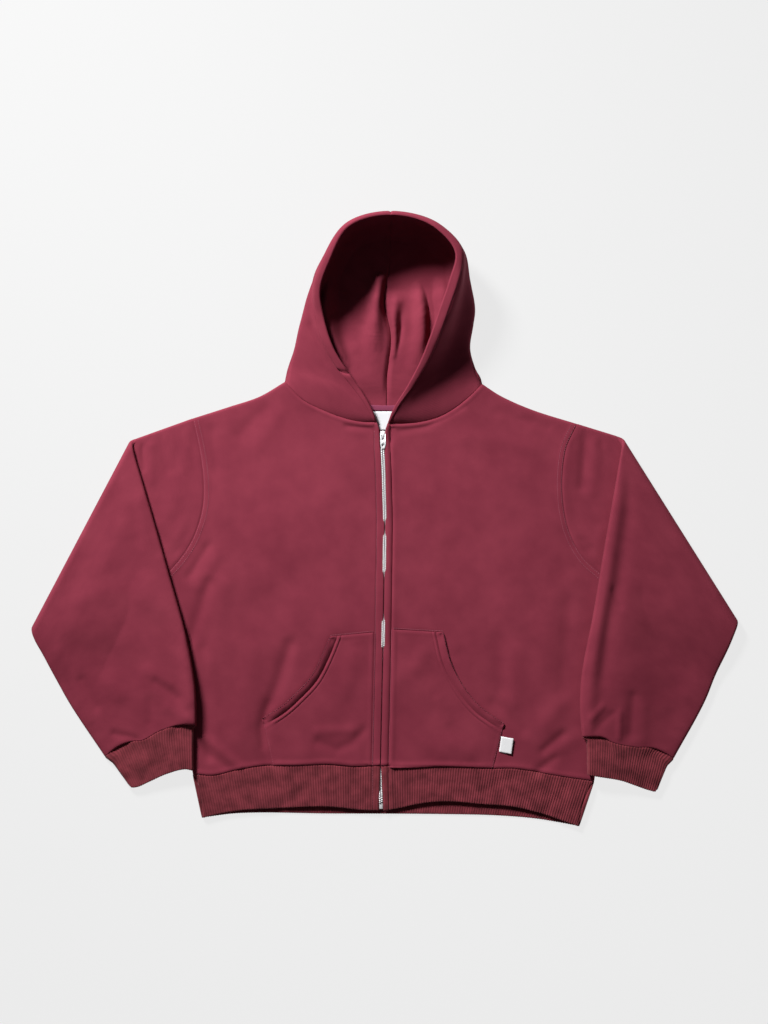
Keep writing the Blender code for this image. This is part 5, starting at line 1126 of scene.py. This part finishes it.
# Soft dents in the hood's outer side, as rows of creases
HOOD_DENTS = [(9, -1.8, [(-103, 277), (-82, 228)])]
SEAM_SWELL = 2.6  # how far the hood stands up just behind the neck seam
HOOD_PUFF = 2.6  # how far the cloth on the table puffs up inside the hood
PUFF_STARTS, PUFF_ENDS, FOLDS_END = (166, 26), (312, 22), (344, 16)  # each a y, and how far it takes
SEAM_FLATTENS = 7  # from the centre seam to where the cloth puffs up in full
HOOD_HEM = 15.5  # from the face edge to the stitches of its turned-in hem
# Share of that width which the hem has at the neck seam and at each row up from it
HEM_NARROWS = {"left": (0.3, 0.42, 0.8), "right": (0.25, 0.4, 0.65, 0.9)}
NOTCH, NOTCH_DEEP = (83.0, 2.6), 4.0  # the left hem buckles this far up from the zip, over this half width
HOOD_HEM_STEPS = (0, 0.15, 0.5, 1.1, 1.9, 3.0, 4.6, 6.6, 9.0, 11.4, 13.2, 14.2, 14.9, 15.5, 16.1, 16.8, 17.8,
                  19.5, 22, 25)
HEM_COLUMN = HOOD_HEM_STEPS.index(HOOD_HEM)
HEM_DOUBLE, HEM_PRESSED = 0.85, 0.5  # what the hem adds to half the thickness, and what its stitches take
HEM_ENDS = (14.6, 1.2)  # from the face edge to where the hem ends, and how far that takes
HOOD_ROW_STEPS = 96  # from the neck to the crown
HOOD_SIDE, HOOD_UNDER = 14, 80  # steps past the hem to the side's lowest edge, and from there to the seam
TO_EDGE = 3 * CURVE_STEPS  # the side's lowest edge, among the points of a section's curve


def hood_section(row, narrow=1.0):
    """Points from the face edge, over the side and under it, to the centre seam."""
    rim, edge, bulge, share, level = np.array(row[:3]), np.array(row[5:8]), *row[8:11]
    end = np.array([*row[11:], LOW_LEVEL])
    out = (edge - end) * (1, 1, 0)
    out = out / np.linalg.norm(out)
    edge = edge - out * CLOTH / 2
    hem = rim + out * row[3] + (0, 0, row[4])
    side_point = (hem + edge) / 2 + (out * 0.6 + np.array([0, 0, 0.8])) * bulge
    under = edge + (end - edge) * share
    under[2] = level
    line = curve([rim, hem, side_point, edge, under, end])
    over = spaced(line[: TO_EDGE + 1], HOOD_SIDE, start=np.array(HOOD_HEM_STEPS) * narrow, end=(0,))
    return np.vstack([over, along(line[TO_EDGE:], np.linspace(0, 1, HOOD_UNDER + 1))[1:]])


def through(points, stations, steps):
    """Values at those steps of a smooth curve that passes through the points at those stations, and is
    level and square to the crown's seam at its end."""
    slope = np.gradient(points, stations, axis=0)
    slope[-1] = slope[-1] * (1, 0, 0)
    i = np.clip(np.searchsorted(stations, steps, side="right") - 1, 0, len(stations) - 2)
    width = (stations[i + 1] - stations[i])[:, None, None]
    x = (steps - stations[i])[:, None, None] / width
    return ((2 * x**3 - 3 * x**2 + 1) * points[i] + (x**3 - 2 * x**2 + x) * width * slope[i]
            + (3 * x**2 - 2 * x**3) * points[i + 1] + (x**3 - x**2) * width * slope[i + 1])


def hood_grid(side):
    """A hood panel in rows from the neck to the crown, and the column of its side's lowest edge."""
    narrow = [*HEM_NARROWS[side], *[1.0] * 10]
    sections = np.array([hood_section(row, much) for row, much in zip(HOOD_ROWS[side], narrow[1:])])
    half = len(HOOD_HEM_STEPS) + HOOD_SIDE - 1
    middle = len(back_neck) // 2
    hem_places = np.array(HOOD_HEM_STEPS) * narrow[0]
    ahead = spaced(seam(side, "neckline")[::-1], HOOD_SIDE, start=hem_places, end=(0,))
    behind = along(back_neck[: middle + 1] if side == "left" else back_neck[middle:][::-1],
                   np.linspace(0, 1, HOOD_UNDER + 1))
    neck = np.vstack([upper_layer(ahead[None])[0], lower_layer(behind[None])[0][1:]])
    sections = np.concatenate([neck[None], sections])
    stations = lengths(sections[:, 0])
    grid = through(sections, stations, places(stations[-1], HOOD_ROW_STEPS) * stations[-1])
    seam_x, seam_y = curve(HOOD_SEAM).T
    shift = np.interp(grid[:, -1, 1], seam_y, seam_x) - grid[:, -1, 0]
    to_seam = np.linspace(0, 1, grid.shape[1] - half)
    grid[1:-1, half:, 0] += shift[1:-1, None] * to_seam ** 3
    grid[..., 2] = np.maximum(grid[..., 2], LOW_LEVEL)
    inside = np.zeros(grid.shape[1])
    inside[half:] = ramp(to_seam, 0.08, 0.14)
    y = grid[..., 1]
    from_seam = smoothstep(np.abs(grid[..., 0] - np.interp(y, seam_y, seam_x)) / SEAM_FLATTENS)
    puffed = ((HOOD_PUFF * from_seam + creases(grid, [])) * (1 - ramp(y, *PUFF_ENDS))
              + folds(grid, HOOD_FOLDS) * from_seam * (1 - ramp(y, *FOLDS_END)))
    low = smoothstep((LOW_LEVEL + 16 - grid[..., 2]) / 12)
    grid[..., 2] += np.maximum(puffed, 0) * ramp(y, *PUFF_STARTS) * inside * low
    behind_seam = lengths(grid[:, 0])[:, None]
    outer = 1 - ramp(np.arange(grid.shape[1]), half - 16, 16)
    grid[..., 2] += SEAM_SWELL * outer * smoothstep(behind_seam / 6) * (1 - smoothstep(behind_seam / 70))
    grid[..., 2] = np.maximum(grid[..., 2], LOW_LEVEL)
    return grid, half


def hood_thickness(grid):
    """Half the thickness of a hood panel: double along the face edge, and pressed where it is stitched. With
    it, the distance from the face edge, as it is and in step with the row of stitches."""
    far = distances(grid, 1)
    down = lengths(grid[:, 0])[:, None]
    down = np.minimum(down, down[-1] - down)
    half = CLOTH / 2 * rounded(np.minimum(down, far[:, -1:] - far))
    half = half * rounded(far, 2.0, least=0.12)
    from_rim = far * HOOD_HEM / far[:, [HEM_COLUMN]]
    doubled = HEM_DOUBLE * smoothstep(far / 2) * (1 - ramp(from_rim, *HEM_ENDS))
    pressed = HEM_PRESSED * bump(from_rim, HOOD_HEM, 1.0)
    return half + (doubled - pressed) * smoothstep(down / 4), far, from_rim


hood_rows = []
for side in WAY:
    grid, half = hood_grid(side)
    thickness, far, from_rim = hood_thickness(grid)
    normal, centre = grid_normals(grid), len(grid) // 2
    normal = normal * np.sign(normal[centre, 3] @ (grid[centre, 3] - grid[centre, -1]))
    down = lengths(grid[:, 0])[:, None]
    ripple = (creases(grid, []) * 1.2 + creases(grid, HOOD_DENTS)) * ramp(far, 18, 20)
    ripple[:, half:] *= np.linspace(1, 0, grid.shape[1] - half) ** 2
    grid = grid + normal * (ripple * smoothstep(down / 20) * smoothstep((down[-1] - down) / 20))[..., None]
    if side == "left":
        pressed = 0.35 + 1.4 * (1 - ramp(grid[..., 1], 204, 6))
        grid = grid - normal * (pressed * bump(from_rim, HOOD_HEM, 1.5) * smoothstep(down / 5))[..., None]
        grid[..., 2] -= NOTCH_DEEP * bump(down, *NOTCH) * (1 - ramp(far, 10, 8))
    flat = np.stack(np.broadcast_arrays(lengths(grid[:, 0])[:, None], distances(grid, 1)), axis=-1)
    hood = sheet_of(f"hood_panel_{side}", grid, fleece, half=thickness, flat=flat)
    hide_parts(f"hood_{side}")
    away = (grid_normals(grid) * (thickness + STITCH_ABOVE)[..., None])[3:, HEM_COLUMN]
    hood_rows += [grid[3:, HEM_COLUMN] + away, grid[3:, HEM_COLUMN] - away]
sew("hood_stitches", hood_rows)

# The patch pockets: fleece, sewn on along the top, the zip side, the hem and the short side edge. The
# curved opening is turned in and carries two rows of stitches, and stands a little off the front.
POCKET_GAPE = 0.9  # how far a pocket's opening stands off the front, under its lip
POCKET_STITCHES = (10.6, 13.4, 1.6)  # from the opening's edge to its two rows, and to the one along the edge
POCKET_AIR = 0.15  # between a pocket and the front under it
POCKET_ROUND = 1.5  # from its edges to where the cloth is at its full thickness
POCKET_STEPS = {"side": 22, "opening": 64, "across": 84, "bottom": 60}
EDGE_STITCHES = 1.8  # from the sewn edges to their row, which lies pressed into the cloth
# Swells and grooves by distance from the opening and from the sewn edges, with half width and height
OPENING_SWELLS = [(13.4, 1.7, 0.9), (10.4, 1.8, -0.8), (15.8, 1.2, -0.5)]
SEWN_EDGE_SWELLS = [(0, 2.8, 2.1), (4.4, 1.8, -0.3)]
POCKET_CREASES = [
    (8, -1.6, [(-96, -325), (-68, -334), (-48, -326), (-29, -308)]), (8, 1.2, [(-96, -309), (-47, -307)]),
    (14, 1.2, [(-43, -201), (-58, -251)]), (8, 0.8, [(-41, -356), (-123, -362)]),
    (13, 1.4, [(56, -197), (47, -216)]), (14, -0.8, [(26, -251), (64, -283)]),
    (12, 1.0, [(100, -325), (122, -339)]), (9, 0.8, [(79, -264), (90, -293)]),
    (12, -0.8, [(20, -327), (64, -344)]),
]


def pocket_lines(side):
    """A pocket's outer edge with its opening, its top, its edge beside the zip and its bottom."""
    data = POCKETS[side]
    opening, side_edge = curve(data["opening"][::-1])[::-1], curve(data["side"])
    outer = np.vstack([spaced(side_edge, POCKET_STEPS["side"]), spaced(opening, POCKET_STEPS["opening"])[1:]])
    low = outer[0][1] + 0.6
    tall = data["top"][-1][1] - low
    inner = beside_zip(side, low + tall * places(tall, len(outer) - 2 * len(TURNED) + 1), POCKET_FROM_ZIP)
    top = curve(data["top"])
    top[-1] = inner[-1]
    bottom = np.linspace(outer[0], inner[0], POCKET_STEPS["bottom"])
    hem_line = seam(side, "hem_seam")
    hem_line = hem_line[np.argsort(hem_line[:, 0])]
    bottom[:, 1] = np.interp(bottom[:, 0], *hem_line.T) + 1.0
    outer[0], inner[0] = bottom[0], bottom[-1]
    return outer, top, inner, bottom, opening


def pocket_layer(points, side, opening):
    """Mid height of a pocket's cloth, laid on the front."""
    far = nearest_on(points, opening)[0]
    ends = np.minimum(*(np.linalg.norm(points - opening[k], axis=-1) for k in (0, -1)))
    lifted = POCKET_GAPE * bump(far, 0, 16) + POCKETS[side]["lip"] * bump(far, 0, 7)
    lifted = lifted + POCKET_SINK * (smoothstep(far / 5) - ramp(far, 2, 9))
    own = creases(points, POCKET_CREASES) * smoothstep(pocket_depth(points, side) / 14)
    level = upper_level(points) + CLOTH + POCKET_AIR + lifted * ramp(ends, -4, 24)
    return level + swells(far, OPENING_SWELLS) + own


pocket_rows = []
for side in WAY:
    outer, top, inner, bottom, opening = pocket_lines(side)
    grid = patch(bottom, top, outer, inner, lambda width: places(width, POCKET_STEPS["across"]))
    edge = from_edge(grid)
    near_opening = 1 - ramp(nearest_on(grid, opening)[0], 3, 6)
    level = pocket_layer(grid, side, opening) - swells(edge, SEWN_EDGE_SWELLS) * (1 - near_opening)
    middle = np.concatenate([grid, level[..., None]], axis=-1)
    half = CLOTH / 2 * rounded(from_edge(middle), POCKET_ROUND)
    pocket = sheet_of(f"patch_pocket_{side}", middle, fleece, half=half)
    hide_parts(f"pocket_{side}")
    rows = [(beside(opening, away, start=2, end=2), 0.1) for away in POCKET_STITCHES]
    rows += [(beside(line, EDGE_STITCHES, start=2, end=2, steps=40), -1.5)
             for line in (curve(POCKETS[side]["side"]), top, inner)]
    pocket_rows += [np.column_stack([line, pocket_layer(line[None], side, opening)[0] + CLOTH / 2 + above])
                    for line, above in rows]
sew("pocket_stitches", pocket_rows)

# The neck tape and the labels: a narrow woven tape covers the back neck seam, a satin label is sewn below
# it, and a small folded tab of the same satin is caught in the right pocket's side seam. Both are blank.
NECK_TAPE = {"half_width": 3.9, "thick": 0.8, "end_inset": 12.0, "low": 2.8, "below": 2.4, "bow": 0.3}
NECK_LABEL = {"x": (-24.5, 21.5), "y": (127.4, 154.4), "low": 3.0, "thick": 0.6, "wave": 0.25, "wave_long": 6}
POCKET_LABEL = {"corner": (168.8, -315.6), "along": (-3.2, -22.6), "out": (18.0, -3.3), "thick": 1.0,
                "above": 0.3, "rises": 1.6}


# Woven herringbone cotton tape, dyed a little pinker than the fleece, with a fine slanting weave
def tape_material(name, dark, light, scale):
    """A tape between two shades, with the weave at that scale."""
    material, tree, shader = new_material(name, light, 0.8, Sheen_Weight=0.15, Specular_IOR_Level=0.3)
    place = add_node(tree, "ShaderNodeUVMap", uv_map="cloth")
    weave = add_node(tree, "ShaderNodeTexWave", {"Vector": place, "Scale": scale, "Distortion": 1.2,
                                                 "Detail": 1.0}, bands_direction="DIAGONAL").outputs["Fac"]
    wear = add_node(tree, "ShaderNodeTexNoise", {"Vector": place, "Scale": 0.25, "Detail": 2.0})
    tone = add_node(tree, "ShaderNodeMix", {"Factor": 0.35, "A": weave, "B": wear})
    surface_colour = add_node(tree, "ShaderNodeMix", {"Factor": tone, "A": linear(dark), "B": linear(light)},
                   data_type="RGBA")
    relief = add_node(tree, "ShaderNodeBump", {"Height": weave, "Strength": 0.4, "Distance": 0.15 * MM})
    feed(shader, {"Base Color": surface_colour, "Normal": relief})
    return material


neck_cotton = tape_material("herringbone_cotton_tape", "732c47", "8e3a57", 0.3)


# White polyester satin, woven: a smooth face with a soft gloss and very fine threads across it
def satin_material(name, dark, light):
    """A satin between two shades."""
    material, tree, shader = new_material(name, light, 0.5, Sheen_Weight=0.1)
    place = add_node(tree, "ShaderNodeUVMap", uv_map="cloth")
    threads = add_node(tree, "ShaderNodeTexWave", {"Vector": place, "Scale": 0.5, "Distortion": 0.4},
                       bands_direction="Y").outputs["Fac"]
    surface_colour = add_node(tree, "ShaderNodeMix", {"Factor": threads, "A": linear(dark), "B": linear(light)},
                   data_type="RGBA")
    relief = add_node(tree, "ShaderNodeBump", {"Height": threads, "Strength": 0.3, "Distance": 0.06 * MM})
    feed(shader, {"Base Color": surface_colour, "Normal": relief})
    return material


# The neck label's copy of the white satin is painted a little darker, as painted shade that tones down the
# stronger light it gets on the back neck; the tab's copy keeps the satin's own white
neck_satin_painted_shade = satin_material("white_satin_painted_shade", "dadce0", "e6e8eb")
tab_satin = satin_material("white_woven_satin", "f2f2f4", "fcfcfd")


def ribbon(name, first, second, level, thick, material, steps=14):
    """A thin strip between two lines in the plane, domed a little, with mid heights from level(plan)."""
    t = np.linspace(0, 1, steps)[None, :, None]
    plan = first[:, None] * (1 - t) + second[:, None] * t
    middle = np.concatenate([plan, np.broadcast_to(level(plan), plan.shape[:2])[..., None]], axis=-1)
    return sheet_of(name, middle, material, half=thick / 2 * rounded(from_edge(middle), thick * 0.8))


inset_share = NECK_TAPE["end_inset"] / lengths(back_neck)[-1]
tape_middle = along(back_neck, np.linspace(inset_share, 1 - inset_share, 90)) - (0, NECK_TAPE["below"])
tape_across = square_to(tape_middle) * NECK_TAPE["half_width"]
tape = ribbon("neck_tape_cotton", tape_middle - tape_across, tape_middle + tape_across,
              lambda p: np.full(p.shape[:2], NECK_TAPE["low"] + NECK_TAPE["thick"] / 2)
              + NECK_TAPE["bow"] * np.sin(np.pi * np.linspace(0, 1, p.shape[1])),
              NECK_TAPE["thick"], neck_cotton)
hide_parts("neck_tape")

across = np.linspace(*NECK_LABEL["x"], 24)
low, high = (np.column_stack([across, np.full(24, y)]) for y in NECK_LABEL["y"])
neck_label = ribbon("neck_label_satin", low, high,
                    lambda p: (NECK_LABEL["low"] + NECK_LABEL["thick"] / 2
                               + NECK_LABEL["wave"] * np.sin(p[..., 0] / NECK_LABEL["wave_long"])),
                    NECK_LABEL["thick"], neck_satin_painted_shade)
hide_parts("neck_label")

corner, way_down, way_out = (np.array(POCKET_LABEL[k]) for k in ("corner", "along", "out"))
near = corner + way_down * np.linspace(0, 1, 20)[:, None]
pocket_label = ribbon("pocket_label_satin", near, near + way_out,
                      lambda p: (upper_level(p) + (CLOTH + POCKET_LABEL["thick"]) / 2 + POCKET_LABEL["above"]
                                 + np.linspace(0, POCKET_LABEL["rises"], p.shape[1])),
                      POCKET_LABEL["thick"], tab_satin)
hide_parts("pocket_label")

# The zip: a separating metal zip. Two woven tapes are sewn under the fronts' edges, each with a row of
# nickel teeth. The rows are closed up to the slider, whose pull turns on a bar under the bridge, and end
# in a stop box at the hem.
ZIP_TAPE = {"width": 13.0, "thick": 0.8, "top_y": 126.0, "bottom_y": -421.0, "gap": 2.6}
TAPE_FROM_MIDDLE = (3.2, 4.9)  # along the closed zip, and above y = 100 beside the slider and the open end
TEETH = {"pitch": 2.54, "from_middle": 1.45, "top_y": 111.5, "bottom_y": -410.6}
TEETH_SUNK, TEETH_RAISED = 2.9, 2.6  # below the fronts' mid height, and back up where the fronts part
TOOTH = (1.65, 1.16, 1.9)  # half length across the zip, half width along it, and height

zip_cotton = tape_material("dyed_polyester_zip_tape", "4c1c27", "6a2a38", 0.45)

# Polished nickel on brass: slightly brushed, with small darker marks. Its near white, mostly diffuse colour
# is painted reflection, standing for the bright room that the polished metal would mirror
nickel, tree, shader = new_material("polished_nickel", "f4f4f6", 0.34, Metallic=0.25)
where = add_node(tree, "ShaderNodeTexCoord").outputs["Object"]
marks = add_node(tree, "ShaderNodeTexNoise", {"Vector": where, "Scale": 900.0, "Detail": 3.0})
gloss = add_node(tree, "ShaderNodeMapRange", {"Value": marks, "To Min": 0.26, "To Max": 0.46})
feed(shader, {"Roughness": gloss})

# Rows of teeth: a small block with bevelled corners at even steps along each line
tooth_rows, given = node_group("zip_teeth", [("Pitch", "Float"), ("Tooth", "Vector"),
                                             ("Material", "Material")])
row = add_node(tooth_rows, "GeometryNodeMeshToCurve", {"Mesh": given["Geometry"]})
row = add_node(tooth_rows, "GeometryNodeResampleCurve", {"Curve": row, "Length": given["Pitch"]},
               mode="LENGTH")
block = add_node(tooth_rows, "GeometryNodeMeshCone", {"Vertices": 8, "Radius Top": 0.78, "Radius Bottom": 1.0,
                                                      "Depth": 1.0})
tooth = add_node(tooth_rows, "GeometryNodeInstanceOnPoints", {"Points": row, "Instance": block,
                                                              "Scale": given["Tooth"]})
finish_tree(tooth_rows, tooth, given["Material"])

y = np.linspace(TEETH["bottom_y"], TEETH["top_y"], 200)
middle, half_gap = zip_at(y)
level = (upper_level(np.column_stack([middle, y])[None], sewn=False)[0] - TEETH_SUNK
         + TEETH_RAISED * ramp(half_gap, 0.45, 0.5))
guides = [np.column_stack([middle + way * TEETH["from_middle"], y + way * TEETH["pitch"] / 4, level])
          for way in WAY.values()]
teeth = grow(wires("zip_teeth", guides), tooth_rows,
             {"Pitch": TEETH["pitch"] * MM, "Tooth": tuple(size * MM for size in TOOTH), "Material": nickel})
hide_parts("zip_chain")

y = np.linspace(ZIP_TAPE["bottom_y"], ZIP_TAPE["top_y"], 150)
for side in WAY:
    inner = beside_zip(side, y, np.where(y > 100, TAPE_FROM_MIDDLE[1], TAPE_FROM_MIDDLE[0]))
    zip_tape = ribbon(f"zip_tape_cloth_{side}", inner, inner + (WAY[side] * ZIP_TAPE["width"], 0),
                      lambda p: upper_level(p) - ZIP_TAPE["gap"] + ZIP_TAPE["thick"] / 2,
                      ZIP_TAPE["thick"], zip_cotton)
    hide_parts(f"zip_tape_{side}")


def cast(name, node, body, bevel):
    """A metal fitting with softened edges, from the plain shape of the same fitting. Faces within 3 degrees
    are one, edges from 35 degrees are bevelled, and those from 40 degrees look sharp."""
    made = in_scene(name, bpy.data.objects[node].data.copy())
    shape = bmesh.new()
    shape.from_mesh(made.data)
    bmesh.ops.remove_doubles(shape, verts=shape.verts, dist=1e-6)
    bmesh.ops.dissolve_limit(shape, angle_limit=np.radians(3), verts=shape.verts, edges=shape.edges)
    if bevel:
        sharp = [e for e in shape.edges if len(e.link_faces) == 2 and e.calc_face_angle() > np.radians(35)]
        bmesh.ops.bevel(shape, geom=sharp, offset=bevel * MM, segments=3, affect="EDGES", clamp_overlap=True)
    shape.to_mesh(made.data)
    shape.free()
    made.data.materials.clear()
    made.data.materials.append(nickel)
    made.data.shade_smooth()
    made.data.set_sharp_from_angle(angle=np.radians(40))
    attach(made, body)
    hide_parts(node)
    return made


cast("slider_casting", "zip_slider", "garment", 0.45)
cast("pull_tab", "zip_pull", "pull", 0.3)
cast("stop_box_casting", "zip_stop_box", "garment", 0)
